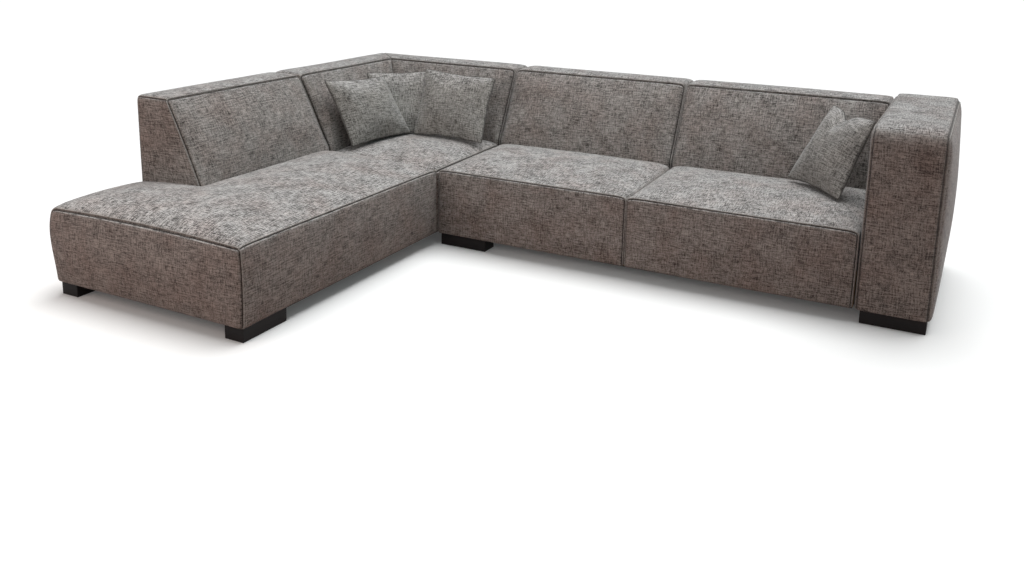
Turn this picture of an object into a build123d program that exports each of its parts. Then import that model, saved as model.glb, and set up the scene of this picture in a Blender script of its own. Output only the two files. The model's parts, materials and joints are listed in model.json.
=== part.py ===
from build123d import *
import math
import os

# Modular sectional sofa: a wing module with an open end and a corner, a two-seat module with one arm,
# and four loose pillows. In the layout frame X runs to the viewer's right along the two-seat run, Y to the
# back and Z up, with the inner corner of the L at X 0, Y 0 on the floor. The finished solids are moved so
# that the origin lies at the bottom centre of the whole sofa.

# Driving dimensions in millimetres: the layout
SEAT_WIDTH = 1005.0        # each seat of the two-seat run
RUN_DEPTH = 1060.0         # front panel to rear panel, also the width of the wing
WING_REACH = 1420.0        # open end of the wing, measured from the inner corner
WING_BACK_REACH = 940.0    # end panel of the wing's back, measured from the inner corner
ARM_WIDTH = 300.0
ARM_DEPTH = 1000.0
ARM_HEIGHT = 838.0
MODULE_GAP = 3.0           # between the two modules
SEAT_GAP = 2.0             # between two covers of one module

# Seats
FOOT_HEIGHT = 60.0
SEAT_EDGE = 398.0          # height of the front top seam
SEAT_CROWN = 38.0          # rise of the seat above its seam
SEAT_DROP = 14.0           # how far the seam sinks at the ends of a seat
SEAT_ROUND = 22.0          # radius of the front top edge
FRONT_PUFF = 7.0           # swell of a free front panel
SHOULDER = 48.0            # length over which the ends of a soft form round off
END_CROWN = 0.35           # share of the crown left at the ends
SHOULDER_FULLNESS = 0.72   # how full a soft form is at its shoulders
QUARTER_FULLNESS = 0.95    # and a quarter of the way along

# Backs
BACK_HEIGHT = 812.0
BACK_TOP_DEPTH = 200.0
BACK_FOOT_DEPTH = 390.0
BACK_KINK = 423.0          # height where the slanted front starts
BACK_PUFF = 26.0           # swell of the slanted front
BACK_TOP_CROWN = 7.0
BACK_DROP = 11.0
BACK_PULL = 12.0           # how far the slanted front draws in at the ends
BACK_ROUND = 24.0

# Arm
ARM_NOSE = 62.0            # radius of the front top edge
ARM_ROUND = 26.0
ARM_PULL = 13.0            # how far the strip stands proud of the side panels' edges
ARM_CROWN = 6.0
ARM_SHOULDER = 24.0

# Upholstery
COVER_WALL = 8.0           # fabric with its wadding
CLEAR = 0.4                # between a soft solid and its neighbour

# Timber, ply and cloth underneath
BOARD = 25.0
FRAME_SETBACK = 20.0       # cover face to the boards
RAIL_TOP = 247.0
DUST_CLOTH = 1.5
LEDGE_BOARD = 15.0
POST_WIDTH = 60.0
POST_MARGIN = 50.0         # end of a back to its post
BACK_FRAME_DROP = 60.0     # top of a back to its frame
BACK_RAIL = 60.0
SPRING_RAIL_SETBACK = 5.0

# Seat springs
SPRING_WIRE = 3.8
SPRING_HALF = 26.0         # half the width of a spring
SPRING_BARS = 15           # odd, so that both ends are open bars
SPRING_BEND_SHARE = 0.45   # bend of a spring against the spacing of its bars
SPRING_PITCH = 165.0       # aim for the spacing of springs along a seat
SPRING_END = 85.0          # first spring to the end of the frame
CLIP_WIDTH = 18.0
CLIP_DEPTH = 16.0
CLIP_HEIGHT = 6.0
CLIP_SLOT_GAP = 0.2
CLIP_FROM_END = 14.0       # centre of a clip to the open end of its bar

# Back webbing and brackets
STRAP_WIDTH = 50.0
STRAP_THICK = 1.6
STRAPS = 3
BRACKET_WIDTH = 40.0
BRACKET_THICK = 4.0
BRACKET_BELOW = 120.0
BRACKET_ABOVE = 130.0

# Arm frame
ARM_PANEL = 18.0
ARM_PANEL_SETBACK = 22.0   # arm cover's side to the panels
ARM_FRAME_DROP = 110.0     # top of the arm to its frame
ARM_FRAME_SETBACK = 45.0   # front and rear of the arm to its frame
CLEAT_MARGIN = 120.0
CLEAT_DROP = 25.0
ARM_BOLT_RADIUS = 4.0
ARM_BOLT_HEAD = 8.0
ARM_BOLT_BITE = 22.0       # length of bolt in the cross rail
ARM_BOLT_HEIGHT = 162.0

# Feet and fixings
FOOT_LENGTH = 255.0
FOOT_WIDTH = 95.0
FOOT_INSET = 15.0
FOOT_CHAMFER = 2.0
FOOT_BOLT_RADIUS = 4.0
FOOT_BOLT_SPREAD = 150.0
FOOT_BOLT_DEPTH = 28.0     # length of bolt in the foot
FOOT_BOLT_BITE = 40.0      # length of bolt in the rail
DOCK_FIRST = 200.0         # docking plates, measured back from the inner corner
DOCK_SECOND = 700.0
DOCK_WIDTH = 60.0
DOCK_THICK = 4.0
DOCK_GAP = 0.3
DOCK_PIN_RADIUS = 6.0
DOCK_PIN_PLAY = 0.5
DOCK_PIN_BELOW = 10.0      # length of pin under the plate
DOCK_EDGE = 18.0           # metal beyond the pin hole and the screws
DOCK_BITE = 45.0           # length of pin and screws in the rail
DOCK_SCREW_RADIUS = 2.5
DOCK_SCREW_HEAD = 5.0
DOCK_SCREW_SPREAD = 30.0

# Pillows
PILLOW_WIDTH = 450.0
PILLOW_HEIGHT = 390.0      # a little slumped, so lower than wide
PILLOW_THICK = 135.0
TUCKED_WIDTH = 400.0       # the pillow pushed into the corner is squeezed
TUCKED_THICK = 92.0
PILLOW_DRAW = 0.93         # middle of a side against its corners
PILLOW_CORE_SHARE = 0.55   # filling block against the pillow's width and height
PILLOW_CORE_FILL_SHARE = 0.4   # filling block against the pillow's thickness
PILLOW_DOME_SHARE = 1.4    # exponent that rounds a pillow off between its middle and its rim
PILLOW_LEVELS = (0.0, 0.12, 0.3, 0.55, 0.8, 0.96)
REST_GAP = 0.4             # pillow to the seat that it stands on
LEFT_FROM_BACK = 125.0     # foot of the left pillow to the foot of the side back
LEFT_TIP_GAP = 180.0       # far tip of the left pillow to the foot of the rear back
LEFT_TURN = 80.0
RIGHT_FROM_BACK = 165.0    # foot of the right pillow to the foot of the rear back
RIGHT_FROM_SEAM = 11.0     # tip of the right pillow to the seam between the modules
RIGHT_TURN = -4.0
TUCKED_FROM_BACK = 14.0    # tips of the tucked pillow to the foot of each back
TUCKED_TURN = 45.0
ARM_SIDE_FROM_BACK = 186.0  # foot of the pillow beside the arm to the foot of its back
ARM_SIDE_FROM_ARM = 20.0   # tip of that pillow to the arm
ARM_SIDE_TURN = -45.0
PILLOW_LEAN = 26.0
TUCKED_LEAN = 32.0
ARM_SIDE_LEAN = 28.0

# Worked-out places
SEAT_DEPTH = RUN_DEPTH - BACK_FOOT_DEPTH
RAIL_LOW = FOOT_HEIGHT + DUST_CLOTH
LEDGE = RAIL_TOP + LEDGE_BOARD + CLEAR + COVER_WALL
FOAM_LOW = RAIL_TOP + CLIP_HEIGHT + CLEAR
RAIL_FRONT = FRAME_SETBACK
RAIL_REAR = RUN_DEPTH - FRAME_SETBACK
POST_FRONT = RAIL_REAR - BOARD
SPRING_RAIL_REAR = SEAT_DEPTH - SPRING_RAIL_SETBACK
SPRING_RAIL_FRONT = SPRING_RAIL_REAR - BOARD
FRONT_CLIP = RAIL_FRONT + BOARD / 2
REAR_CLIP = SPRING_RAIL_REAR - BOARD / 2
RUN_START = MODULE_GAP / 2
RUN_END = 2 * SEAT_WIDTH
ARM_START = RUN_END + SEAT_GAP / 2
ARM_END = RUN_END + ARM_WIDTH
CORNER_END = -MODULE_GAP / 2
LOW = -FOOT_HEIGHT         # below every solid, for cutters
HIGH = 2 * ARM_HEIGHT      # above every solid, for cutters
FAR = 2 * (RUN_DEPTH + ARM_END)   # beyond every solid, for cutters
ORIGIN = Pos((RUN_DEPTH - ARM_END) / 2, (WING_REACH - RUN_DEPTH) / 2, 0)


def run_plane(station):
    """Section plane across the two-seat run: first axis back along Y, second up."""
    return Plane(origin=(station, 0, 0), x_dir=(0, 1, 0), z_dir=(1, 0, 0))


def wing_plane(station):
    """Section plane across the wing: first axis outwards along minus X, second up."""
    return Plane(origin=(0, station, 0), x_dir=(-1, 0, 0), z_dir=(0, 1, 0))


def run_block(start, end, front, rear, low, high):
    """Box of the two-seat run, from stations along X and depths along Y."""
    box = Box(end - start, rear - front, high - low, align=(Align.MIN, Align.MIN, Align.MIN))
    return Pos(start, front, low) * box


def wing_block(start, end, front, rear, low, high):
    """Box of the wing, from stations along Y and depths along minus X."""
    box = Box(rear - front, end - start, high - low, align=(Align.MIN, Align.MIN, Align.MIN))
    return Pos(-rear, start, low) * box


def side(plane, start, end, rise):
    """One side of a section: a line, or an arc that rises to the left of its direction."""
    first = plane.from_local_coords(start)
    last = plane.from_local_coords(end)
    if rise == 0:
        return Edge.make_line(first, last)
    along = (end - start).normalized()
    middle = (start + end) * 0.5 + Vector(-along.Y, along.X) * rise
    return Edge.make_three_point_arc(first, plane.from_local_coords(middle), last)


def section(plane, corners, rises, radii):
    """Closed wire through the corners, clockwise, with rounded corners and risen sides."""
    points = [Vector(*corner) for corner in corners]
    count = len(points)
    entries = []
    exits = []
    sags = []
    for index, point in enumerate(points):
        before = (point - points[index - 1]).normalized()
        after = (points[(index + 1) % count] - point).normalized()
        half_turn = math.radians(before.get_angle(after)) / 2
        setback = radii[index] * math.tan(half_turn)
        entries.append(point - before * setback)
        exits.append(point + after * setback)
        sags.append(radii[index] * (1 - math.cos(half_turn)))
    edges = []
    for index in range(count):
        if radii[index] > 0:
            edges.append(side(plane, entries[index], exits[index], sags[index]))
        edges.append(side(plane, exits[index], entries[(index + 1) % count], rises[index]))
    return Wire(edges)


def stations(start, end, shoulder):
    """Places along a soft form with its fullness there, from 0 at the ends to 1 in the middle."""
    length = end - start
    return (
        (start, 0.0),
        (start + shoulder, SHOULDER_FULLNESS),
        (start + length * 0.25, QUARTER_FULLNESS),
        (start + length * 0.5, 1.0),
        (start + length * 0.75, QUARTER_FULLNESS),
        (end - shoulder, SHOULDER_FULLNESS),
        (end, 0.0),
    )


def seat_form(plane, start, end, puff):
    """Crowned seat block whose front panel swells by the puff."""
    wires = []
    for place, fullness in stations(start, end, SHOULDER):
        top = SEAT_EDGE - SEAT_DROP * (1 - fullness) ** 2
        swell = END_CROWN + (1 - END_CROWN) * fullness
        corners = ((0, FOOT_HEIGHT), (0, top), (RUN_DEPTH, top), (RUN_DEPTH, FOOT_HEIGHT))
        rises = (puff * fullness, SEAT_CROWN * swell, 0, 0)
        wires.append(section(plane(place), corners, rises, (0, SEAT_ROUND, SEAT_ROUND, 0)))
    return Solid.make_loft(wires, ruled=True)


def back_corners(inset, pull, low, top):
    """Corners of a back's section, with its slanted front drawn in by the pull."""
    slope = (BACK_HEIGHT - BACK_KINK) / (BACK_FOOT_DEPTH - BACK_TOP_DEPTH)
    shift = (inset + pull) * math.sqrt(1 + slope * slope)
    foot = SEAT_DEPTH + inset
    rear = RUN_DEPTH - inset
    kink = BACK_KINK + slope * inset - shift
    top_front = SEAT_DEPTH + (top - BACK_KINK + shift) / slope
    return (foot, low), (foot, kink), (top_front, top), (rear, top), (rear, low)


def back_form(plane, start, end):
    """Back block with a slanted, swollen front."""
    wires = []
    for place, fullness in stations(start, end, SHOULDER):
        slack = (1 - fullness) ** 2
        swell = END_CROWN + (1 - END_CROWN) * fullness
        corners = back_corners(0, BACK_PULL * slack, LEDGE + CLEAR, BACK_HEIGHT - BACK_DROP * slack)
        rises = (0, BACK_PUFF * swell, BACK_TOP_CROWN * swell, 0, 0)
        wires.append(section(plane(place), corners, rises, (0, 0, BACK_ROUND, BACK_ROUND, 0)))
    return Solid.make_loft(wires, ruled=True)


def back_core(plane, start, end, inset, low):
    """Plain wedge inside a back, smaller than the cover by the inset."""
    top = BACK_HEIGHT - BACK_DROP - BACK_ROUND - inset
    corners = back_corners(inset, BACK_PULL, low, top)
    first = plane(start + inset)
    wire = section(first, corners, (0,) * 5, (0,) * 5)
    return extrude(Face(wire), amount=end - start - 2 * inset, dir=first.z_dir)


def arm_form():
    """Box arm whose front-and-top strip stands a little proud."""
    wires = []
    for place, fullness in stations(ARM_START, ARM_END, ARM_SHOULDER):
        slack = ARM_PULL * (1 - fullness) ** 2
        top = ARM_HEIGHT - ARM_CROWN - slack
        rear = ARM_DEPTH - slack
        crown = ARM_CROWN * (END_CROWN + (1 - END_CROWN) * fullness)
        corners = ((slack, FOOT_HEIGHT), (slack, top), (rear, top), (rear, FOOT_HEIGHT))
        wires.append(section(run_plane(place), corners, (0, crown, 0, 0), (0, ARM_NOSE, ARM_ROUND, 0)))
    return Solid.make_loft(wires, ruled=True)


def arm_core(inset, low):
    """Plain box inside the arm, smaller than the cover by the inset."""
    setback = inset + ARM_PULL
    top = ARM_HEIGHT - ARM_CROWN - ARM_NOSE - setback
    return run_block(ARM_START + inset, ARM_END - inset, setback, ARM_DEPTH - setback, low, top)


def pillow_half(width, thick):
    """Upper half of a pillow: sides drawn in between the corners, crowned towards the middle."""
    wires = []
    for level in PILLOW_LEVELS:
        spread = PILLOW_DRAW / 2 * math.sqrt(1 - level ** PILLOW_DOME_SHARE)
        corner_share = math.sqrt(0.5) + (1 / PILLOW_DRAW - math.sqrt(0.5)) * (1 - level) ** 2
        half_width = width * spread
        half_height = PILLOW_HEIGHT * spread
        height = thick / 2 * level
        ends = []
        for across, up in ((-1, -1), (-1, 1), (1, 1), (1, -1)):
            ends.append(Vector(across * half_width * corner_share, up * half_height * corner_share, height))
        middles = []
        for across, up in ((-1, 0), (0, 1), (1, 0), (0, -1)):
            middles.append(Vector(across * half_width, up * half_height, height))
        arcs = []
        for index in range(4):
            arcs.append(Edge.make_three_point_arc(ends[index], middles[index], ends[(index + 1) % 4]))
        wires.append(Wire(arcs))
    return Solid.make_loft(wires, ruled=True)


def pillow_form(width, thick):
    """Whole pillow, lying flat about the origin."""
    half = pillow_half(width, thick)
    return half + mirror(half, Plane.XY)


def pillow_core(width, thick, gap):
    """Block of filling inside a pillow's wadding."""
    height = PILLOW_HEIGHT * PILLOW_CORE_SHARE - 2 * gap
    return Box(width * PILLOW_CORE_SHARE - 2 * gap, height, thick * PILLOW_CORE_FILL_SHARE - 2 * gap)


def mitre(keep_rear, inset):
    """Cutter for the corner's two backs, along the diagonal through the corner."""
    shift = inset * math.sqrt(2)
    if keep_rear:
        points = ((shift - FAR, FAR), (shift + FAR, -FAR), (-FAR, -FAR))
    else:
        points = ((-shift - FAR, FAR), (-shift + FAR, -FAR), (FAR, FAR))
    return Pos(0, 0, LOW) * extrude(make_face(Polyline(*points, close=True)), HIGH - LOW)


def group(solids):
    """Several separate solids of one node."""
    return Compound(children=list(solids))


def spaced(start, end, pitch):
    """Evenly spaced places from start to end, about one pitch apart."""
    gaps = max(1, round((end - start) / pitch))
    return [start + (end - start) * index / gaps for index in range(gaps + 1)]


nodes = {}


def seat_pair(plane, block, start, end, puff, cut, relief):
    """Cover and foam of a seat; the cut leaves room for backs and the relief for rails and brackets."""
    room_top = SEAT_EDGE - SEAT_DROP - SEAT_ROUND
    inset = COVER_WALL
    room = block(start + inset, end - inset, inset, RUN_DEPTH - inset, LOW, room_top)
    cover = (seat_form(plane, start, end, puff) - cut(0, LEDGE)) - (room - cut(inset, LEDGE - inset))
    for piece in relief:
        cover = cover - piece
    inset = COVER_WALL + CLEAR
    foam = block(start + inset, end - inset, inset, RUN_DEPTH - inset, FOAM_LOW, room_top - CLEAR)
    return cover, foam - cut(inset, LOW)


def back_pair(plane, block, start, end, trim):
    """Cover and foam of a back; the trim mitres the backs of the corner."""
    room = trim(back_core(plane, start, end, COVER_WALL, LOW), COVER_WALL)
    cover = trim(back_form(plane, start, end), 0) - room
    inset = COVER_WALL + CLEAR
    foam = trim(back_core(plane, start, end, inset, LEDGE + CLEAR), inset)
    behind = block(start, end, POST_FRONT - STRAP_THICK - CLEAR, FAR, LOW, HIGH)
    return cover, foam - behind


def untrimmed(form, inset):
    """A back with two square ends needs no mitre."""
    return form


def trim_rear(form, inset):
    """Mitre for the corner's rear back."""
    return form - mitre(True, CLEAR + inset)


def trim_side(form, inset):
    """Mitre for the corner's side back."""
    return form - mitre(False, CLEAR + inset)


def back_frame(block, start, end):
    """Posts, rails, straps and brackets of one back, between two stations."""
    top = BACK_HEIGHT - BACK_FRAME_DROP
    left = start + POST_MARGIN
    right = end - POST_MARGIN
    posts = [
        block(left, left + POST_WIDTH, POST_FRONT, RAIL_REAR, LEDGE, top),
        block(right - POST_WIDTH, right, POST_FRONT, RAIL_REAR, LEDGE, top),
    ]
    rails = [
        block(left + POST_WIDTH, right - POST_WIDTH, POST_FRONT, RAIL_REAR, top - BACK_RAIL, top),
        block(left + POST_WIDTH, right - POST_WIDTH, POST_FRONT, RAIL_REAR, LEDGE, LEDGE + BACK_RAIL),
    ]
    straps = []
    room = top - BACK_RAIL - LEDGE - BACK_RAIL
    for index in range(STRAPS):
        middle = LEDGE + BACK_RAIL + room * (index + 1) / (STRAPS + 1)
        low = middle - STRAP_WIDTH / 2
        straps.append(block(left, right, POST_FRONT - STRAP_THICK, POST_FRONT, low, low + STRAP_WIDTH))
    brackets = []
    slots = []
    for middle in (left + POST_WIDTH / 2, right - POST_WIDTH / 2):
        first = middle - BRACKET_WIDTH / 2
        last = middle + BRACKET_WIDTH / 2
        rear = RAIL_REAR + BRACKET_THICK
        brackets.append(block(first, last, RAIL_REAR, rear, LEDGE - BRACKET_BELOW, LEDGE + BRACKET_ABOVE))
        slots.append(block(first - CLEAR, last + CLEAR, RAIL_REAR - CLEAR, rear + CLEAR,
                           LEDGE - BRACKET_BELOW, LEDGE + BRACKET_ABOVE))
    return posts, rails, straps, brackets, slots


def spring_set(front, rear):
    """One sinuous spring and its two clips, between two clip depths."""
    pitch = (rear - front) / (SPRING_BARS - 1)
    points = []
    for index in range(SPRING_BARS):
        ends = (-SPRING_HALF, SPRING_HALF) if index % 2 == 0 else (SPRING_HALF, -SPRING_HALF)
        for end in ends:
            points.append((end, front + pitch * index, 0))
    path = FilletPolyline(*points, radius=SPRING_BEND_SHARE * pitch)
    wire = sweep(Plane(path @ 0, z_dir=path % 0) * Circle(SPRING_WIRE / 2), path=path)
    height = RAIL_TOP + CLIP_HEIGHT / 2
    slot = SPRING_WIRE + 2 * CLIP_SLOT_GAP
    clip = Box(CLIP_WIDTH, CLIP_DEPTH, CLIP_HEIGHT) - Box(CLIP_WIDTH, slot, slot)
    clips = [
        Pos(-SPRING_HALF + CLIP_FROM_END, front, height) * clip,
        Pos(SPRING_HALF - CLIP_FROM_END, rear, height) * clip,
    ]
    return Pos(0, 0, height) * wire, clips


def foot_with_bolts(x_length, y_length, x, y, bolt_places):
    """Block foot with its low corner at x, y, and the bolts that hold it to the rail above."""
    block = Box(x_length, y_length, FOOT_HEIGHT, align=(Align.MIN, Align.MIN, Align.MIN))
    foot = Pos(x, y, 0) * chamfer(block.edges(), FOOT_CHAMFER)
    low = FOOT_HEIGHT - FOOT_BOLT_DEPTH
    length = FOOT_BOLT_DEPTH + DUST_CLOTH + FOOT_BOLT_BITE
    align = (Align.CENTER, Align.CENTER, Align.MIN)
    bolts = [Pos(bx, by, low) * Cylinder(FOOT_BOLT_RADIUS, length, align=align) for bx, by in bolt_places]
    return foot, bolts


# Two-seat module: timber base
left_rail = RUN_START + FRAME_SETBACK
nodes["run_long_rails"] = group([
    run_block(left_rail, RUN_END, RAIL_FRONT, RAIL_FRONT + BOARD, RAIL_LOW, RAIL_TOP),
    run_block(left_rail, RUN_END, POST_FRONT, RAIL_REAR, RAIL_LOW, RAIL_TOP),
])
run_cross = (left_rail, SEAT_WIDTH - BOARD / 2, RUN_END - BOARD)
nodes["run_cross_rails"] = group(
    run_block(place, place + BOARD, RAIL_FRONT + BOARD, POST_FRONT, RAIL_LOW, RAIL_TOP)
    for place in run_cross
)
nodes["run_spring_rails"] = group(
    run_block(first + BOARD, last, SPRING_RAIL_FRONT, SPRING_RAIL_REAR, RAIL_LOW, RAIL_TOP)
    for first, last in zip(run_cross, run_cross[1:])
)
ledge_front = SEAT_DEPTH + CLEAR
nodes["run_ledge_boards"] = group([
    run_block(left_rail, SEAT_WIDTH - SEAT_GAP / 2, ledge_front, RAIL_REAR, RAIL_TOP, RAIL_TOP + LEDGE_BOARD),
    run_block(SEAT_WIDTH + SEAT_GAP / 2, RUN_END - BOARD, ledge_front, RAIL_REAR, RAIL_TOP,
              RAIL_TOP + LEDGE_BOARD),
])
seat_spring, seat_clips = spring_set(FRONT_CLIP, REAR_CLIP)
run_springs = []
run_clips = []
for first, last in zip(run_cross, run_cross[1:]):
    for place in spaced(first + BOARD + SPRING_END, last - SPRING_END, SPRING_PITCH):
        run_springs.append(Pos(place, 0, 0) * seat_spring)
        run_clips.extend(Pos(place, 0, 0) * clip for clip in seat_clips)
nodes["run_springs"] = group(run_springs)
nodes["run_spring_clips"] = group(run_clips)
nodes["run_dust_cover"] = run_block(
    RUN_START + COVER_WALL + CLEAR, RUN_END, COVER_WALL + CLEAR, RUN_DEPTH - COVER_WALL - CLEAR,
    FOOT_HEIGHT, RAIL_LOW,
)

# Two-seat module: backs, with the slots that their brackets need in the seat covers
run_spans = (
    ("left", RUN_START, SEAT_WIDTH - SEAT_GAP / 2),
    ("right", SEAT_WIDTH + SEAT_GAP / 2, RUN_END - SEAT_GAP / 2),
)
run_posts = []
run_rails = []
run_straps = []
run_brackets = []
run_slots = []
for name, start, end in run_spans:
    posts, rails, straps, brackets, slots = back_frame(run_block, start, end)
    run_posts.extend(posts)
    run_rails.extend(rails)
    run_straps.extend(straps)
    run_brackets.extend(brackets)
    run_slots.extend(slots)
    cover, foam = back_pair(run_plane, run_block, start, end, untrimmed)
    nodes[f"{name}_back_cover"] = cover
    nodes[f"{name}_back_foam"] = foam
nodes["run_back_posts"] = group(run_posts)
nodes["run_back_rails"] = group(run_rails)
nodes["run_back_webbing"] = group(run_straps)
nodes["run_back_brackets"] = group(run_brackets)


def run_cut(inset, low):
    """Room behind the seat for the backs of the run."""
    return run_block(-FAR, FAR, SEAT_DEPTH - inset, FAR, low, HIGH)


def rail_relief(block, start, end):
    """Room for rails and boards through the low part of a wall between two seats."""
    inner = COVER_WALL
    return block(start, end, inner, RUN_DEPTH - inner, LOW, LEDGE - COVER_WALL)


run_relief = run_slots + [
    rail_relief(run_block, SEAT_WIDTH - SEAT_GAP - COVER_WALL, SEAT_WIDTH + SEAT_GAP + COVER_WALL),
    rail_relief(run_block, RUN_END - SEAT_GAP - COVER_WALL, RUN_END + SEAT_GAP),
]
for name, start, end in run_spans:
    cover, foam = seat_pair(run_plane, run_block, start, end, FRONT_PUFF, run_cut, run_relief)
    nodes[f"{name}_seat_cover"] = cover
    nodes[f"{name}_seat_foam"] = foam

# Two-seat module: arm
panel_inner = ARM_START + ARM_PANEL_SETBACK
panel_outer = ARM_END - ARM_PANEL_SETBACK
frame_front = ARM_FRAME_SETBACK
frame_rear = ARM_DEPTH - ARM_FRAME_SETBACK
frame_top = ARM_HEIGHT - ARM_FRAME_DROP
cleat_low = RAIL_LOW + CLEAT_DROP
cleat_high = RAIL_TOP - CLEAT_DROP
nodes["arm_frame"] = group([
    run_block(panel_inner, panel_inner + ARM_PANEL, frame_front, frame_rear, RAIL_LOW, frame_top),
    run_block(panel_outer - ARM_PANEL, panel_outer, frame_front, frame_rear, RAIL_LOW, frame_top),
    run_block(panel_inner + ARM_PANEL, panel_outer - ARM_PANEL, frame_front, frame_front + BOARD, RAIL_LOW,
              frame_top - BOARD),
    run_block(panel_inner + ARM_PANEL, panel_outer - ARM_PANEL, frame_rear - BOARD, frame_rear, RAIL_LOW,
              frame_top - BOARD),
    run_block(panel_inner + ARM_PANEL, panel_outer - ARM_PANEL, frame_front, frame_rear, frame_top - BOARD,
              frame_top),
    run_block(RUN_END, panel_inner, CLEAT_MARGIN, SEAT_DEPTH, cleat_low, cleat_high),
])
arm_bolts = []
bolt_length = panel_inner + ARM_PANEL - RUN_END + ARM_BOLT_BITE
for depth in (CLEAT_MARGIN + POST_WIDTH, SEAT_DEPTH - POST_WIDTH):
    shank = Cylinder(ARM_BOLT_RADIUS, bolt_length, align=(Align.CENTER, Align.CENTER, Align.MIN))
    head = Cylinder(2 * ARM_BOLT_RADIUS, ARM_BOLT_HEAD, align=(Align.CENTER, Align.CENTER, Align.MIN))
    bolt = Rot(0, 90, 0) * (shank + Pos(0, 0, bolt_length) * head)
    arm_bolts.append(Pos(RUN_END - ARM_BOLT_BITE, depth, ARM_BOLT_HEIGHT) * bolt)
nodes["arm_bolts"] = group(arm_bolts)
cleat_relief = run_block(ARM_START - SEAT_GAP, panel_inner, CLEAT_MARGIN - CLEAR, SEAT_DEPTH + CLEAR,
                         cleat_low - CLEAR, cleat_high + CLEAR)
nodes["arm_cover"] = arm_form() - arm_core(COVER_WALL, LOW) - cleat_relief
frame_room = run_block(-FAR, FAR, frame_front - CLEAR, frame_rear + CLEAR, LOW, frame_top + CLEAR)
nodes["arm_foam"] = arm_core(COVER_WALL + CLEAR, RAIL_LOW) - frame_room
nodes["arm_dust_cover"] = run_block(
    ARM_START + COVER_WALL + CLEAR, ARM_END - COVER_WALL - CLEAR, ARM_PULL + COVER_WALL + CLEAR,
    ARM_DEPTH - ARM_PULL - COVER_WALL - CLEAR, FOOT_HEIGHT, RAIL_LOW,
)

# Two-seat module: feet
run_feet = []
run_foot_bolts = []
foot_spots = (
    (RUN_START + FOOT_INSET, FOOT_INSET, RAIL_FRONT + BOARD / 2),
    (RUN_START + FOOT_INSET, RUN_DEPTH - FOOT_INSET - FOOT_WIDTH, RAIL_REAR - BOARD / 2),
    (ARM_END - FOOT_INSET - FOOT_LENGTH, FOOT_INSET, frame_front + BOARD / 2),
    (ARM_END - FOOT_INSET - FOOT_LENGTH, ARM_DEPTH - FOOT_INSET - FOOT_WIDTH, frame_rear - BOARD / 2),
)
for x, y, bolt_line in foot_spots:
    middle = x + FOOT_LENGTH / 2
    places = ((middle - FOOT_BOLT_SPREAD / 2, bolt_line), (middle + FOOT_BOLT_SPREAD / 2, bolt_line))
    foot, bolts = foot_with_bolts(FOOT_LENGTH, FOOT_WIDTH, x, y, places)
    run_feet.append(foot)
    run_foot_bolts.extend(bolts)
nodes["run_feet"] = group(run_feet)
nodes["run_foot_bolts"] = group(run_foot_bolts)

# Wing module: timber base under the wing and the corner
wing_front = -WING_REACH + FRAME_SETBACK
nodes["wing_long_rails"] = group([
    wing_block(wing_front, RAIL_REAR, RAIL_FRONT, RAIL_FRONT + BOARD, RAIL_LOW, RAIL_TOP),
    wing_block(wing_front, RAIL_REAR, POST_FRONT, RAIL_REAR, RAIL_LOW, RAIL_TOP),
])
wing_cross = (wing_front, -WING_REACH / 2, -BOARD / 2, POST_FRONT)
nodes["wing_cross_rails"] = group(
    wing_block(place, place + BOARD, RAIL_FRONT + BOARD, POST_FRONT, RAIL_LOW, RAIL_TOP)
    for place in wing_cross
)
wing_spring_rails = [
    wing_block(first + BOARD, last, SPRING_RAIL_FRONT, SPRING_RAIL_REAR, RAIL_LOW, RAIL_TOP)
    for first, last in zip(wing_cross, wing_cross[1:])
]
wing_spring_rails.append(
    run_block(-SPRING_RAIL_FRONT, -RAIL_FRONT - BOARD, SPRING_RAIL_FRONT, SPRING_RAIL_REAR, RAIL_LOW,
              RAIL_TOP)
)
nodes["wing_spring_rails"] = group(wing_spring_rails)
nodes["wing_ledge_boards"] = group([
    wing_block(-WING_BACK_REACH, -SEAT_GAP / 2, ledge_front, RAIL_REAR, RAIL_TOP, RAIL_TOP + LEDGE_BOARD),
    wing_block(SEAT_GAP / 2, RAIL_REAR, ledge_front, RAIL_REAR, RAIL_TOP, RAIL_TOP + LEDGE_BOARD),
    run_block(-ledge_front, -FRAME_SETBACK, ledge_front, RAIL_REAR, RAIL_TOP, RAIL_TOP + LEDGE_BOARD),
])
wing_springs = []
wing_clips = []
for place in spaced(wing_front + BOARD + SPRING_END, -BOARD / 2 - SPRING_END, SPRING_PITCH):
    turned = Pos(0, place, 0) * Rot(0, 0, 90)
    wing_springs.append(turned * seat_spring)
    wing_clips.extend(turned * clip for clip in seat_clips)
corner_spring, corner_clips = spring_set(0, REAR_CLIP)
for place in spaced(SPRING_END - SPRING_RAIL_FRONT, -RAIL_FRONT - BOARD - SPRING_END, SPRING_PITCH):
    wing_springs.append(Pos(place, 0, 0) * corner_spring)
    wing_clips.extend(Pos(place, 0, 0) * clip for clip in corner_clips)
nodes["wing_springs"] = group(wing_springs)
nodes["wing_spring_clips"] = group(wing_clips)
nodes["wing_dust_cover"] = wing_block(
    -WING_REACH + COVER_WALL + CLEAR, RUN_DEPTH - COVER_WALL - CLEAR, COVER_WALL + CLEAR - CORNER_END,
    RUN_DEPTH - COVER_WALL - CLEAR, FOOT_HEIGHT, RAIL_LOW,
)

# Wing module: three backs
corner_margin = POST_FRONT - POST_MARGIN
frames = (
    back_frame(wing_block, -WING_BACK_REACH, -SEAT_GAP / 2),
    back_frame(wing_block, SEAT_GAP / 2, corner_margin),
    back_frame(run_block, -corner_margin, CORNER_END),
)
for index, name in enumerate(("posts", "rails", "webbing", "brackets")):
    nodes[f"wing_back_{name}"] = group(solid for frame in frames for solid in frame[index])
wing_slots = [slot for frame in frames for slot in frame[4]]

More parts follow.
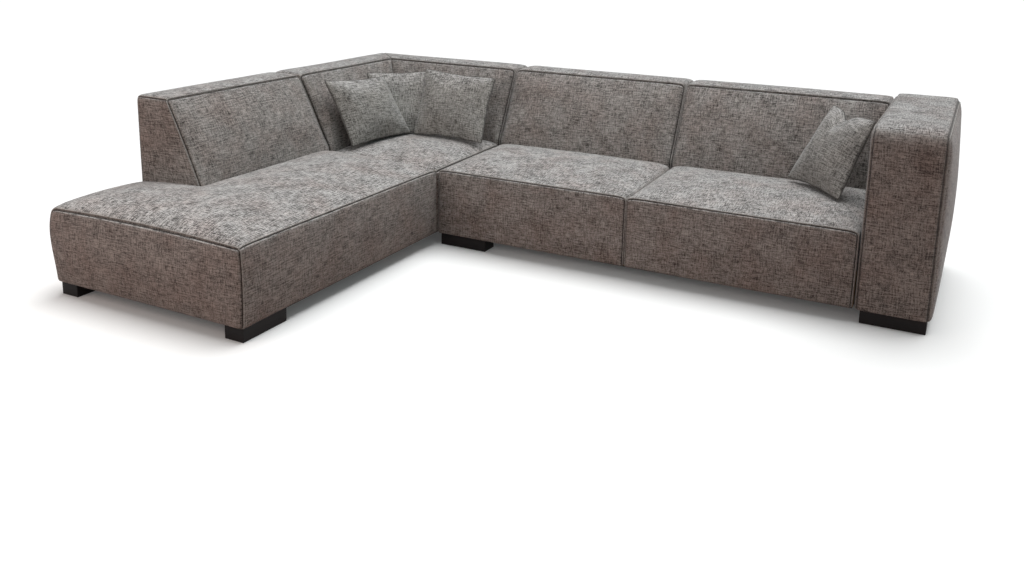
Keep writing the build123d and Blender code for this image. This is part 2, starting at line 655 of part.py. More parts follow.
for name, plane, block, start, end, trim in (
    ("wing_back", wing_plane, wing_block, -WING_BACK_REACH, -SEAT_GAP / 2, untrimmed),
    ("corner_side", wing_plane, wing_block, SEAT_GAP / 2, RUN_DEPTH, trim_side),
    ("corner_rear", run_plane, run_block, -RUN_DEPTH, CORNER_END, trim_rear),
):
    cover, foam = back_pair(plane, block, start, end, trim)
    nodes[f"{name}_cover"] = cover
    nodes[f"{name}_foam"] = foam


# Wing module: two seats
def wing_cut(inset, low):
    """Room beside the wing seat for its back."""
    return wing_block(-WING_BACK_REACH - inset, FAR, SEAT_DEPTH - inset, FAR, low, HIGH)


def corner_cut(inset, low):
    """Room round the corner seat for its two backs."""
    return run_cut(inset, low) + wing_block(-FAR, FAR, SEAT_DEPTH - inset, FAR, low, HIGH)


wing_relief = wing_slots + [
    rail_relief(wing_block, -SEAT_GAP - COVER_WALL, SEAT_GAP + COVER_WALL),
]
for name, plane, block, start, end, puff, cut in (
    ("wing_seat", wing_plane, wing_block, -WING_REACH, -SEAT_GAP / 2, FRONT_PUFF, wing_cut),
    ("corner_seat", run_plane, run_block, -RUN_DEPTH, CORNER_END, 0, corner_cut),
):
    cover, foam = seat_pair(plane, block, start, end, puff, cut, wing_relief)
    nodes[f"{name}_cover"] = cover
    nodes[f"{name}_foam"] = foam

# Wing module: feet and docking plates
wing_feet = []
wing_foot_bolts = []
wing_foot_spots = (
    (-FOOT_INSET - FOOT_WIDTH, -WING_REACH + FOOT_INSET, -RAIL_FRONT - BOARD / 2),
    (-RUN_DEPTH + FOOT_INSET, -WING_REACH + FOOT_INSET, -RAIL_REAR + BOARD / 2),
    (-FOOT_INSET - FOOT_WIDTH, RUN_DEPTH - FOOT_INSET - FOOT_LENGTH, -RAIL_FRONT - BOARD / 2),
    (-RUN_DEPTH + FOOT_INSET, RUN_DEPTH - FOOT_INSET - FOOT_LENGTH, -RAIL_REAR + BOARD / 2),
)
for x, y, bolt_line in wing_foot_spots:
    middle = y + FOOT_LENGTH / 2
    places = ((bolt_line, middle - FOOT_BOLT_SPREAD / 2), (bolt_line, middle + FOOT_BOLT_SPREAD / 2))
    foot, bolts = foot_with_bolts(FOOT_WIDTH, FOOT_LENGTH, x, y, places)
    wing_feet.append(foot)
    wing_foot_bolts.extend(bolts)
nodes["wing_feet"] = group(wing_feet)
nodes["wing_foot_bolts"] = group(wing_foot_bolts)
dock_plates = []
dock_screws = []
dock_pins = []
pin_line = RUN_START + FRAME_SETBACK + BOARD / 2
screw_line = -RAIL_FRONT - BOARD / 2
plate_top = FOOT_HEIGHT - DOCK_GAP
plate_low = plate_top - DOCK_THICK
upright = (Align.CENTER, Align.CENTER, Align.MIN)
for depth in (DOCK_FIRST, DOCK_SECOND):
    plate = run_block(screw_line - DOCK_EDGE, pin_line + DOCK_EDGE, depth - DOCK_WIDTH / 2,
                      depth + DOCK_WIDTH / 2, plate_low, plate_top)
    hole = Pos(pin_line, depth, 0) * Cylinder(DOCK_PIN_RADIUS + DOCK_PIN_PLAY, FOOT_HEIGHT, align=upright)
    plate = plate - hole
    for shift in (-DOCK_SCREW_SPREAD / 2, DOCK_SCREW_SPREAD / 2):
        spot = Pos(screw_line, depth + shift, 0)
        plate = plate - spot * Cylinder(DOCK_SCREW_RADIUS + DOCK_GAP, FOOT_HEIGHT, align=upright)
        shank = Cylinder(DOCK_SCREW_RADIUS, RAIL_LOW + DOCK_BITE - plate_low, align=upright)
        head = Cylinder(DOCK_SCREW_HEAD, DOCK_THICK / 2, align=upright)
        screw = Pos(0, 0, plate_low) * shank + Pos(0, 0, plate_low - DOCK_THICK / 2) * head
        dock_screws.append(spot * screw)
    dock_plates.append(plate)
    pin_low = plate_low - DOCK_PIN_BELOW
    pin = Cylinder(DOCK_PIN_RADIUS, RAIL_LOW + DOCK_BITE - pin_low, align=upright)
    dock_pins.append(Pos(pin_line, depth, pin_low) * pin)
nodes["dock_plates"] = group(dock_plates)
nodes["dock_screws"] = group(dock_screws)
nodes["dock_pins"] = group(dock_pins)


# Loose pillows
def seat_height(seat, x, y):
    """Height of a seat's top above a point of the floor."""
    hits = seat.find_intersection_points(Axis((x, y, LOW), (0, 0, 1)))
    return max(point.Z for point, normal in hits)


def stood_up(seat, x, y, turn, lean, width):
    """Place of a pillow that stands on a seat: foot of its middle line, turn, lean back and width."""
    pose = Pos(x, y, 0) * Rot(0, 0, turn) * Rot(90 - lean, 0, 0) * Pos(0, PILLOW_HEIGHT / 2, 0)
    lift = 0.0
    for across in (-width / 2, width / 2):
        tip = (pose * Pos(across, -PILLOW_HEIGHT / 2, 0)).position
        lift = max(lift, seat_height(seat, tip.X, tip.Y) + REST_GAP - tip.Z)
    return Pos(0, 0, lift) * pose


corner_top = seat_form(run_plane, -RUN_DEPTH, CORNER_END, 0)
right_top = seat_form(run_plane, SEAT_WIDTH + SEAT_GAP / 2, RUN_END - SEAT_GAP / 2, FRONT_PUFF)
half_width = PILLOW_WIDTH / 2
tucked_spot = SEAT_DEPTH - TUCKED_FROM_BACK - TUCKED_WIDTH / 2 * math.sqrt(0.5)
arm_side_lean = PILLOW_HEIGHT * math.sin(math.radians(ARM_SIDE_LEAN))
arm_side_x = RUN_END - ARM_SIDE_FROM_ARM - (half_width + arm_side_lean) * math.sqrt(0.5)
pillow_spots = (
    ("left", corner_top, LEFT_FROM_BACK - SEAT_DEPTH, SEAT_DEPTH - LEFT_TIP_GAP - half_width, LEFT_TURN,
     PILLOW_LEAN, PILLOW_WIDTH, PILLOW_THICK),
    ("middle", corner_top, -tucked_spot, tucked_spot, TUCKED_TURN, TUCKED_LEAN, TUCKED_WIDTH, TUCKED_THICK),
    ("right", corner_top, -RIGHT_FROM_SEAM - half_width, SEAT_DEPTH - RIGHT_FROM_BACK, RIGHT_TURN,
     PILLOW_LEAN, PILLOW_WIDTH, PILLOW_THICK),
    ("arm", right_top, arm_side_x, SEAT_DEPTH - ARM_SIDE_FROM_BACK, ARM_SIDE_TURN, ARM_SIDE_LEAN,
     PILLOW_WIDTH, PILLOW_THICK),
)
for name, seat, x, y, turn, lean, width, thick in pillow_spots:
    place = stood_up(seat, x, y, turn, lean, width)
    nodes[f"{name}_pillow_cover"] = place * (pillow_form(width, thick) - pillow_core(width, thick, 0))
    nodes[f"{name}_pillow_insert"] = place * pillow_core(width, thick, CLEAR)

os.makedirs("parts", exist_ok=True)
for name, shape in nodes.items():
    export_step(ORIGIN * shape, f"parts/{name}.step")
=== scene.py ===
"""Looks of a modular sectional sofa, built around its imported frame."""
import json
import logging
import math
from dataclasses import dataclass, field
from enum import Enum
from typing import Sequence

import bpy
import numpy as np
from mathutils import Matrix, Vector

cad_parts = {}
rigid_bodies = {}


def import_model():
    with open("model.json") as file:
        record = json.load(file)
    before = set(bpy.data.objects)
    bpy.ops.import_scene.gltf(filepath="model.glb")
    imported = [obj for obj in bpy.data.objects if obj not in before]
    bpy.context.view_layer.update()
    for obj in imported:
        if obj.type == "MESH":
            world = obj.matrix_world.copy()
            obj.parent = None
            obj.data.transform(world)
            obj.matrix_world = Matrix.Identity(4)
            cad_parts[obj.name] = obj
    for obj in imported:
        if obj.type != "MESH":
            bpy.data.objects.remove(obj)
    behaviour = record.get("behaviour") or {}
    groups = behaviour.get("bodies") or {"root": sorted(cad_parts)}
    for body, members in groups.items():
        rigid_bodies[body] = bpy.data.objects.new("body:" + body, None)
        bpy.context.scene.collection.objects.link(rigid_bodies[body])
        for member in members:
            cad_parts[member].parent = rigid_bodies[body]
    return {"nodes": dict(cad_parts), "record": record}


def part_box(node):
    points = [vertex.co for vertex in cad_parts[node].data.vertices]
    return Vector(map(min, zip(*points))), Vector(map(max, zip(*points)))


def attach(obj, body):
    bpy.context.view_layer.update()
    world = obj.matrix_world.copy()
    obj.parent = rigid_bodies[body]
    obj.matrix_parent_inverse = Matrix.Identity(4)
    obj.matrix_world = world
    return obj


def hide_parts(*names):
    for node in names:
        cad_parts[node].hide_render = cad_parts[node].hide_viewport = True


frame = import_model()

LOG = logging.getLogger("sofa")
MODULE = "two_seat_module"
WING = "wing_module"

Array = np.ndarray
Colour = tuple[float, float, float]
Spot = tuple[float, float, float]
Socket = bpy.types.NodeSocket

PRE_FILL = 0.45  # share of a swell that is modelled before the cloth swells
PANEL_SHIFT = 3.1  # metres of cloth from one panel's pattern to the next
BLOCK_SHIFT = 5.3  # and from one block's to the next
SHIFT_SLANT = 0.7  # shift up the cloth against the shift across it
TOP_LIGHT_FROM, TOP_LIGHT_SPAN = 0.5, 0.45  # how far a face looks up when the painted light on upward faces starts to show, and until it shows fully
WAVES = np.array([(7.3, 5.1, 9.7), (-4.9, 8.3, 6.1)])  # slow unevenness of the foam, in radians to the metre
WHITE = (1.0, 1.0, 1.0)
STREAK_ROUGHNESS = 0.6  # weight of a noise's finer layers
LAP_SIDES = 8  # corners of a lap's or a wire's cross-section
STITCH_SEGMENTS, STITCH_RINGS = 6, 4


class Panel(Enum):
    """Sides of an upholstered block, as (axis, direction): along, depth from the front, height."""

    START = (0, -1)
    END = (0, 1)
    FRONT = (1, -1)
    REAR = (1, 1)
    BASE = (2, -1)
    TOP = (2, 1)


class Run(Enum):
    """Which leg of the L a block lies on: the two-seat run along X, or the wing along Y."""

    SEATS = "seats"
    WING = "wing"


class Mitre(Enum):
    """Which end of a back is cut along the corner's diagonal."""

    NONE = "none"
    START = "start"
    END = "end"


class Kind(Enum):
    """Kinds of sockets on a node group."""

    COLOUR = "NodeSocketColor"
    VALUE = "NodeSocketFloat"
    VECTOR = "NodeSocketVector"
    GEOMETRY = "NodeSocketGeometry"
    MATERIAL = "NodeSocketMaterial"


@dataclass(frozen=True)
class Layout:
    """Sizes that the blocks share, in metres, with the inner corner of the L as their zero."""

    seat_width: float = 1.005
    depth: float = 1.060
    seat_depth: float = 0.670
    wing_reach: float = 1.420
    wing_back_reach: float = 0.940
    arm_width: float = 0.300
    arm_depth: float = 1.000
    half_module_gap: float = 0.0015
    half_seat_gap: float = 0.001
    base: float = 0.060
    ledge: float = 0.2704
    back_clear: float = 0.0004

    def corner(self) -> Vector:
        """Inner corner of the L in the part's frame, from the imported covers."""
        left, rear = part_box("wing_seat_cover")[0].x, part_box("left_back_cover")[1].y
        return Vector((left + self.depth, rear - self.depth, 0.0))


@dataclass(frozen=True)
class Weave:
    """Grid lines of a soft form: how fine they are, and how close the first ones lie to an edge."""

    step: float = 0.022
    least_share: float = 0.4
    edge: tuple[float, ...] = (0.0, 0.007, 0.015, 0.030)

    def lines(self, low: float, high: float, fixed: Sequence[float] = ()) -> Array:
        """Grid lines from one end of a block to the other.

        Args:
            low: First line.
            high: Last line.
            fixed: Lines that have to be there in between.

        Returns:
            Rising places of the lines.
        """
        near_ends = [low + gap for gap in self.edge] + [high - gap for gap in self.edge] + list(fixed)
        inner_low, inner_high = low + self.edge[-1], high - self.edge[-1]
        count = max(1, round((inner_high - inner_low) / self.step))
        regular = np.linspace(inner_low, inner_high, count + 1)[1:-1]
        least = self.least_share * self.step
        clear = [place for place in regular if min(abs(place - other) for other in near_ends) > least]
        return np.array(sorted(set(near_ends + clear)))


def smooth(value: Array) -> Array:
    """Smooth step from 0 to 1."""
    held = np.clip(value, 0.0, 1.0)
    return held * held * (3.0 - 2.0 * held)


def arc(share: Array) -> Array:
    """Height of a shallow arch over its span, from 0 at the ends to 1 in the middle."""
    held = np.clip(share, 0.0, 1.0)
    return 1.0 - (2.0 * held - 1.0) ** 2


def near(distance: Array, reach: float) -> Array:
    """1 at an edge, falling to 0 at a reach from it."""
    return np.clip(1.0 - distance / reach, 0.0, 1.0)


def fullness(distance: Array, shoulder: float) -> Array:
    """How full a soft form is at a distance from its end: 0 there and 1 well inside."""
    left_at_shoulder = 0.28
    return 1.0 - left_at_shoulder ** (np.maximum(distance, 0.0) / shoulder)


def rounded(points: Array, low: Array, high: Array, radius: Array) -> Array:
    """Points of a box with its edges rounded.

    Args:
        points: Points on the box, one row each.
        low: Lowest corner.
        high: Highest corner.
        radius: Radius towards the low and the high side of each axis, as a 2 by 3 array.

    Returns:
        The moved points.
    """
    core = np.clip(points, low + radius[0], high - radius[1])
    away = points - core
    size = np.where(away < 0.0, radius[0], radius[1])
    share = np.divide(away, size, out=np.zeros_like(away), where=size > 0.0)
    length = np.linalg.norm(share, axis=1)
    reach = np.abs(share).max(axis=1)
    scale = np.divide(reach, length, out=np.ones_like(length), where=length > 0.0)
    return core + away * scale[:, None]


class BlockGrid:
    """Surface of a block of cells, with a vertex wherever its grid lines cross on the surface."""

    def __init__(self, lines: tuple[Array, Array, Array], cells: Array) -> None:
        """Finds the surface.

        Args:
            lines: Grid lines of the three axes.
            cells: Which cells are filled.
        """
        self.counts = tuple(len(axis) for axis in lines)
        sides = {panel: self._side(cells, *panel.value) for panel in Panel}
        self.panels = [panel for panel, side in sides.items() for _ in side]
        corners = np.concatenate(list(sides.values()))
        used, compact = np.unique(corners, return_inverse=True)
        self.quads = compact.reshape(corners.shape)
        ids = np.full(int(np.prod(self.counts)), -1)
        ids[used] = np.arange(len(used))
        self.ids = ids.reshape(self.counts)
        index = np.unravel_index(used, self.counts)
        self.points = np.stack([lines[axis][index[axis]] for axis in range(3)], axis=1)

    def _side(self, cells: Array, axis: int, direction: int) -> Array:
        """Outward quads of one side.

        Args:
            cells: Which cells are filled.
            axis: Axis that the side faces along.
            direction: 1 or -1, the way that it faces.

        Returns:
            Flat grid indices, four to a row.
        """
        beyond = np.zeros_like(cells)
        here, there = [slice(None)] * 3, [slice(None)] * 3
        lower, upper = slice(None, -1), slice(1, None)
        here[axis], there[axis] = (lower, upper) if direction > 0 else (upper, lower)
        beyond[tuple(here)] = cells[tuple(there)]
        cell = np.stack(np.nonzero(cells & ~beyond), axis=1)
        cell[:, axis] += direction > 0
        first, second = (axis + 1) % 3, (axis + 2) % 3
        turns = ((0, 0), (1, 0), (1, 1), (0, 1)) if direction > 0 else ((0, 0), (0, 1), (1, 1), (1, 0))
        corners = []
        for along, across in turns:
            corner = cell.copy()
            corner[:, first] += along
            corner[:, second] += across
            corners.append(np.ravel_multi_index(tuple(corner.T), self.counts))
        return np.stack(corners, axis=1)

    def ring(self, axis: int, index: int, sides: Sequence[Panel]) -> list[int]:
        """Vertices of one grid line that goes up a side, over the top and down the other side.

        Args:
            axis: 0 for a ring at a place along the block, 1 for one at a depth.
            index: Which grid line.
            sides: The sides that the ring passes over.

        Returns:
            Vertex numbers in order, up to the first gap.
        """
        last_place, up = self.counts[1 - axis] - 1, self.counts[2] - 1
        path: list[tuple[int, int]] = []
        first, last = (Panel.START, Panel.END) if axis == 1 else (Panel.FRONT, Panel.REAR)
        if first in sides:
            path += [(0, level) for level in range(up)]
        if Panel.TOP in sides:
            path += [(place, up) for place in range(last_place + 1)]
        if last in sides:
            path += [(last_place, level) for level in range(up, -1, -1)]
        found: list[int] = []
        for place, level in path:
            vertex = int(self.ids[(index, place, level) if axis == 0 else (place, index, level)])
            if vertex < 0:
                break
            if not found or found[-1] != vertex:
                found.append(vertex)
        return found


@dataclass(frozen=True)
class Seam:
    """A sewn edge: a drawn-in line with a lap beside it, as grid lines counted from one end of an axis."""

    axis: int
    groove: int
    lap: int
    sides: tuple[Panel, ...]


@dataclass
class SeamPath:
    """Where a lap or a wire runs: its points and the way out of the cloth at each of them."""

    points: Array
    rises: Array


def link_object(name: str, data: bpy.types.ID | None) -> bpy.types.Object:
    """Puts a mesh, lamp or camera in the scene.

    Args:
        name: Name of the object.
        data: What it shows.

    Returns:
        The new object, at the origin.
    """
    made = bpy.data.objects.new(name, data)
    bpy.context.scene.collection.objects.link(made)
    return made


def make_mesh_object(name: str, points: Array, quads: Array) -> bpy.types.Object:
    """A smooth-shaded mesh object at the origin.

    Args:
        name: Name of the piece.
        points: Vertices, one row each.
        quads: Faces, one row of vertex numbers each.

    Returns:
        The new object, linked to the scene.
    """
    mesh = bpy.data.meshes.new(name)
    mesh.from_pydata(points.tolist(), [], quads.tolist())
    mesh.shade_smooth()
    return link_object(name, mesh)


def read_rows(items: bpy.types.bpy_prop_collection, label: str) -> Array:
    """Reads vectors of a mesh.

    Args:
        items: The mesh's vertices or normals.
        label: Which vector of each.

    Returns:
        The vectors, one row each.
    """
    flat = np.zeros(len(items) * 3, np.float32)
    items.foreach_get(label, flat)
    return flat.reshape(-1, 3).astype(float)


def read_points(mesh: bpy.types.Mesh) -> Array:
    """Vertices of a mesh, one row each."""
    return read_rows(mesh.vertices, "co")


def read_normals(mesh: bpy.types.Mesh) -> Array:
    """Vertex normals of a mesh, one row each."""
    return read_rows(mesh.vertex_normals, "vector")


def write_points(mesh: bpy.types.Mesh, points: Array) -> None:
    """Moves the vertices of a mesh."""
    mesh.vertices.foreach_set("co", points.astype(np.float32).ravel())
    mesh.update()


def write_mask(mesh: bpy.types.Mesh, name: str, values: Array) -> None:
    """Stores a value from 0 to 1 at each vertex for the materials."""
    mask = mesh.attributes.new(name, "FLOAT", "POINT")
    mask.data.foreach_set("value", values.astype(np.float32))


def bake_modifiers(piece: bpy.types.Object) -> None:
    """Turns a piece with its modifiers into a plain mesh.

    Args:
        piece: The piece, whose modifiers are taken off.
    """
    graph = bpy.context.evaluated_depsgraph_get()
    live = piece.evaluated_get(graph)
    done = bpy.data.meshes.new_from_object(live, preserve_all_data_layers=True, depsgraph=graph)
    piece.modifiers.clear()
    old, piece.data = piece.data, done
    done.name = piece.name
    bpy.data.meshes.remove(old)


def round_off(piece: bpy.types.Object, seam: Array) -> tuple[Array, Array]:
    """Rounds a sewn cage off by one subdivision and marks its painted shade along the seams and its painted light on
    upward faces.

    Args:
        piece: The cage; its vertices stay the first ones of the result.
        seam: How much painted shade darkens the cloth at each vertex of the cage, along its seams.

    Returns:
        Points and normals of the result.
    """
    # The seam mask is painted shade: the cloth is darkened along the seam lines.
    write_mask(piece.data, "seam", seam)
    modifier = piece.modifiers.new("Round", "SUBSURF")
    modifier.levels = 1
    modifier.render_levels = 1
    bake_modifiers(piece)
    points, normals = read_points(piece.data), read_normals(piece.data)
    # Painted light: upward faces get a lighter, cooler and more contrasting weave, standing in for the sheen that
    # light raises on the tops.
    write_mask(piece.data, "nap", smooth((normals[:, 2] - TOP_LIGHT_FROM) / TOP_LIGHT_SPAN))
    return points, normals


def cover(piece: bpy.types.Object, material: bpy.types.Material) -> None:
    """Gives a piece one material and reports it.

    Args:
        piece: The piece.
        material: Its finish.
    """
    piece.data.materials.clear()
    piece.data.materials.append(material)
    LOG.info("%s: %d faces", piece.name, len(piece.data.polygons))


@dataclass(frozen=True)
class Stuffing:
    """How the cloth over a soft form swells when it is filled."""

    pressure: float = 4.0
    frames: int = 20
    quality: int = 5
    mass: float = 0.3
    bending: float = 0.5
    slack: float = 0.0

    def fill(self, piece: bpy.types.Object, pinned: Array) -> None:
        """Puts the cloth on a piece.

        Args:
            piece: The cage of a soft form.
            pinned: Which of its vertices stay where they are.
        """
        group = piece.vertex_groups.new(name="sewn")
        group.add(np.nonzero(pinned)[0].tolist(), 1.0, "REPLACE")
        cloth = piece.modifiers.new("Cloth", "CLOTH")
        settings = cloth.settings
        settings.use_pressure = True
        settings.uniform_pressure_force = self.pressure
        settings.quality = self.quality
        settings.mass = self.mass
        settings.bending_stiffness = self.bending
        settings.shrink_min = -self.slack
        settings.effector_weights.gravity = 0.0
        settings.vertex_group_mass = group.name
        cloth.collision_settings.use_collision = False
        cloth.point_cache.frame_start = 1
        cloth.point_cache.frame_end = self.frames


def run_cloth(pieces: Sequence[bpy.types.Object], frames: int) -> dict[str, Array]:
    """Steps all the cloths together and takes them off again.

    Args:
        pieces: Objects with a Cloth modifier.
        frames: How many frames to step.

    Returns:
        The swollen vertices of each piece, by name.
    """
    scene = bpy.context.scene
    for number in range(1, frames + 1):
        scene.frame_set(number)
    graph = bpy.context.evaluated_depsgraph_get()
    swollen = {piece.name: read_points(piece.evaluated_get(graph).data) for piece in pieces}
    for piece in pieces:
        piece.modifiers.clear()
        piece.vertex_groups.clear()
    scene.frame_set(1)
    return swollen


@dataclass
class SoftBlock:
    """An upholstered block of the sofa: sewn panels over foam, from one station of its leg to another."""

    name: str
    body: str
    run: Run
    start: float
    end: float
    layout: Layout = field(default_factory=Layout)
    weave: Weave = field(default_factory=Weave)
    fill: float = 0.8
    groove: float = 0.009
    wobble: float = 0.0012
    offset: float = 0.0
    piece: bpy.types.Object | None = None
    grid: BlockGrid | None = None

    def lines(self) -> tuple[Array, Array, Array]:
        """Grid lines along the block, from its front and up."""
        raise NotImplementedError

    def filled(self, along: Array, depth: Array, height: Array) -> Array:
        """Which cells the block fills, by the middle of each cell."""
        return np.ones(np.broadcast(along, depth, height).shape, bool)

    def shape(self, points: Array, share: float) -> Array:
        """Soft form of the block's points; the share says how far its swells are filled."""
        raise NotImplementedError

    def swells(self) -> dict[Panel, float]:
        """Panels that cloth may swell, and by how much."""
        raise NotImplementedError

    def seams(self) -> tuple[Seam, ...]:
        """The sewn edges of the block."""
        raise NotImplementedError

    def to_frame(self, local: Array) -> Array:
        """Moves points to the part's frame.

        Args:
            local: Points along the block, deep and high.

        Returns:
            The same points in the part's frame.
        """
        corner = self.layout.corner()
        if self.run is Run.SEATS:
            return local + np.array(corner)
        return np.stack([corner.x - local[:, 1], corner.y + local[:, 0], local[:, 2]], axis=1)

    def build(self, share: float) -> None:
        """Makes the block's cage, with places on the cloth in metres as its UV map.

        Args:
            share: How far the swells are filled before the cloth swells.
        """
        lines = self.lines()
        middles = [(axis[1:] + axis[:-1]) / 2 for axis in lines]
        self.grid = BlockGrid(lines, self.filled(*np.meshgrid(*middles, indexing="ij")))
        points = self.to_frame(self.shape(self.grid.points, share))
        self.piece = make_mesh_object(self.name, points, self.grid.quads)
        flat = np.zeros((len(self.grid.quads), 4, 2), np.float32)
        for number, (quad, panel) in enumerate(zip(self.grid.quads, self.grid.panels)):
            across, up = [axis for axis in range(3) if axis != panel.value[0]]
            shift = self.offset + PANEL_SHIFT * list(Panel).index(panel)
            flat[number, :, 0] = self.grid.points[quad][:, across] + shift
            flat[number, :, 1] = self.grid.points[quad][:, up] + SHIFT_SLANT * shift
        self.piece.data.uv_layers.new(name="cloth").data.foreach_set("uv", flat.ravel())

    def panel_vertices(self, panel: Panel) -> Array:
        """Finds the vertices of a panel.

        Args:
            panel: The panel.

        Returns:
            Which vertices lie on it, its edges among them.
        """
        inside = np.zeros(len(self.grid.points), bool)
        chosen = np.array([each is panel for each in self.grid.panels])
        inside[self.grid.quads[chosen].ravel()] = True
        return inside

    def drawn_in(self) -> Array:
        """Which vertices lie on a seam.

        Returns:
            One flag for each vertex of the cage.
        """
        sewn = np.zeros(len(self.grid.points), bool)
        for seam in self.seams():
            sewn[self.grid.ring(seam.axis, seam.groove, seam.sides)] = True
        return sewn

    def pinned(self) -> Array:
        """Vertices that the cloth can't move: seams, and every panel that can't swell.

        Returns:
            One flag for each vertex of the cage.
        """
        held = self.drawn_in()
        for panel in set(Panel) - set(self.swells()):
            held |= self.panel_vertices(panel)
        return held

    def settle(self, swollen: Array) -> None:
        """Moves the cage to where the cloth swelled, with the swell of each panel held to its size.

        Args:
            swollen: Where the cloth left each vertex.
        """
        rest = read_points(self.piece.data)
        move = swollen - rest
        most = np.zeros(len(rest))
        for panel, size in self.swells().items():
            inside = self.panel_vertices(panel)
            reach = max(float(np.linalg.norm(move[inside], axis=1).max()), 1e-9)
            most[inside] = np.maximum(most[inside], min(1.0, size / reach))
        write_points(self.piece.data, rest + move * most[:, None])

    def sew(self) -> list[SeamPath]:
        """Draws the seams in, paints shade along them, rounds the cage off and finds where the laps run.

        Returns:
            The paths of the laps.
        """
        mesh, sewn = self.piece.data, self.drawn_in()
        points, normals = read_points(mesh), read_normals(mesh)
        points -= normals * np.where(sewn, self.groove, 0.0)[:, None]
        waves = np.sin(points @ WAVES[0]) + np.sin(points @ WAVES[1] + self.offset)
        points += normals * (0.5 * self.wobble * waves)[:, None]
        write_points(mesh, points)
        # The seam flags also darken the cloth along the seams: painted shade.
        points, normals = round_off(self.piece, sewn)
        rings = [self.grid.ring(seam.axis, seam.lap, seam.sides) for seam in self.seams()]
        return [SeamPath(points[ring], normals[ring]) for ring in rings]

    def dress(self, cloth: bpy.types.Material) -> None:
        """Gives the block its cloth, hangs it on its body and hides the imported cover and foam that it stands for.

        Args:
            cloth: The sofa's cloth.
        """
        cover(self.piece, cloth)
        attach(self.piece, self.body)
        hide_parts(f"{self.name}_cover", f"{self.name}_foam")


@dataclass
class Seat(SoftBlock):
    """A full-height seat block with a crowned top; one with an end puff has an open end."""

    edge_height: float = 0.398
    crown: float = 0.038
    drop: float = 0.011
    end_crown: float = 0.35
    shoulder: float = 0.048
    front_puff: float = 0.009
    end_puff: float = 0.0
    edge_zone: float = 0.06
    side_bulge: float = 0.030
    bulge_sag: float = 1.6
    bulge_fade: float = 0.3
    side_crown: float = 0.014
    top_swell: float = 0.022
    panel_swell: float = 0.005
    start_round: float = 0.010
    end_round: float = 0.010
    front_round: float = 0.012
    rear_round: float = 0.024
    top_round: float = 0.022
    base_round: float = 0.008
    back_from: float = -10.0
    wrap: float = 0.0
    wrap_fade: float = 0.012

    def lines(self) -> tuple[Array, Array, Array]:
        """Grid lines along the seat, from its front and up.

        Returns:
            Rising places of the lines of each axis.
        """
        ends = [self.back_from] if self.start < self.back_from < self.end else []
        depth = self.weave.lines(0.0, self.layout.depth, [self.layout.seat_depth])
        height = self.weave.lines(self.layout.base, self.edge_height, [self.layout.ledge])
        return self.weave.lines(self.start, self.end, ends), depth, height

    def filled(self, along: Array, depth: Array, height: Array) -> Array:
        """The whole block, less the room behind it that its back takes."""
        behind = (depth > self.layout.seat_depth) & (along > self.back_from)
        return ~(behind & (height > self.layout.ledge))

    def shape(self, points: Array, share: float) -> Array:
        """Crowned top, swollen front and rounded edges.

        Args:
            points: Points of the plain block.
            share: How far the swells are filled.

        Returns:
            The moved points.
        """
        low = np.array([self.start, 0.0, self.layout.base])
        high = np.array([self.end, self.layout.depth, self.edge_height])
        radius = np.array([[self.start_round, self.front_round, self.base_round],
                           [self.end_round, self.rear_round, self.top_round]])
        form = rounded(points, low, high, radius)
        along, depth, height = points.T
        across = depth / self.layout.depth
        level = (height - low[2]) / (high[2] - low[2])
        full = fullness(np.minimum(along - self.start, self.end - along), self.shoulder)
        swell = self.end_crown + (1.0 - self.end_crown) * full
        rise = share * self.crown * swell * arc(across) - self.drop * (1.0 - full) ** 2
        form[:, 2] += rise * smooth(level)
        front_full = fullness(self.end - along, self.shoulder) if self.end_puff > 0.0 else full
        form[:, 1] -= share * self.front_puff * front_full * arc(level) * near(depth, self.edge_zone)
        form[:, 0] += self.wrap * (along == self.end) * smooth((depth - self.layout.arm_depth) / self.wrap_fade)
        if self.end_puff > 0.0:
            at_start = near(along - self.start, self.edge_zone)
            form[:, 0] -= share * self.end_puff * arc(level) * arc(across) ** 0.5 * at_start
            beside = smooth((self.back_from - along) / self.bulge_fade)
            at_rear = near(self.layout.depth - depth, self.edge_zone)
            form[:, 1] += self.side_bulge * arc(level ** self.bulge_sag) * (beside * at_rear)
            open_part = np.clip((along - self.start) / (self.back_from - self.start), 0.0, 1.0)
            form[:, 2] += self.side_crown * arc(open_part) * smooth(2.0 * across - 1.0) * smooth(level)
        return form

    def swells(self) -> dict[Panel, float]:
        """The top swells most, the front a little, and an open end as much as the front."""
        ends = {Panel.START: self.panel_swell} if self.end_puff > 0.0 else {}
        return {Panel.TOP: self.top_swell, Panel.FRONT: self.panel_swell, **ends}

    def seams(self) -> tuple[Seam, ...]:
        """The front panel is sewn in all round; an open end has a panel of its own.

        Returns:
            The seams.
        """
        if self.end_puff == 0.0:
            return (Seam(1, 0, 1, (Panel.START, Panel.TOP, Panel.END)),)
        return Seam(1, 0, 1, (Panel.TOP,)), Seam(0, 0, 1, (Panel.FRONT, Panel.TOP, Panel.REAR))


@dataclass
class CornerSeat(Seat):
    """The seat in the corner, with a back on two sides."""

    def lines(self) -> tuple[Array, Array, Array]:
        """Grid lines, with one at the foot of each back."""
        _, depth, height = super().lines()
        return self.weave.lines(self.start, self.end, [-self.layout.seat_depth]), depth, height

    def filled(self, along: Array, depth: Array, height: Array) -> Array:
        """The whole block, less the room that the two backs take."""
        behind = (depth > self.layout.seat_depth) | (along < -self.layout.seat_depth)
        return ~(behind & (height > self.layout.ledge))

    def swells(self) -> dict[Panel, float]:
        """Only the top shows."""
        return {Panel.TOP: self.top_swell}

    def seams(self) -> tuple[Seam, ...]:
        """Only the top's two free edges show."""
        return Seam(1, 0, 1, (Panel.TOP,)), Seam(0, -1, -2, (Panel.TOP,))


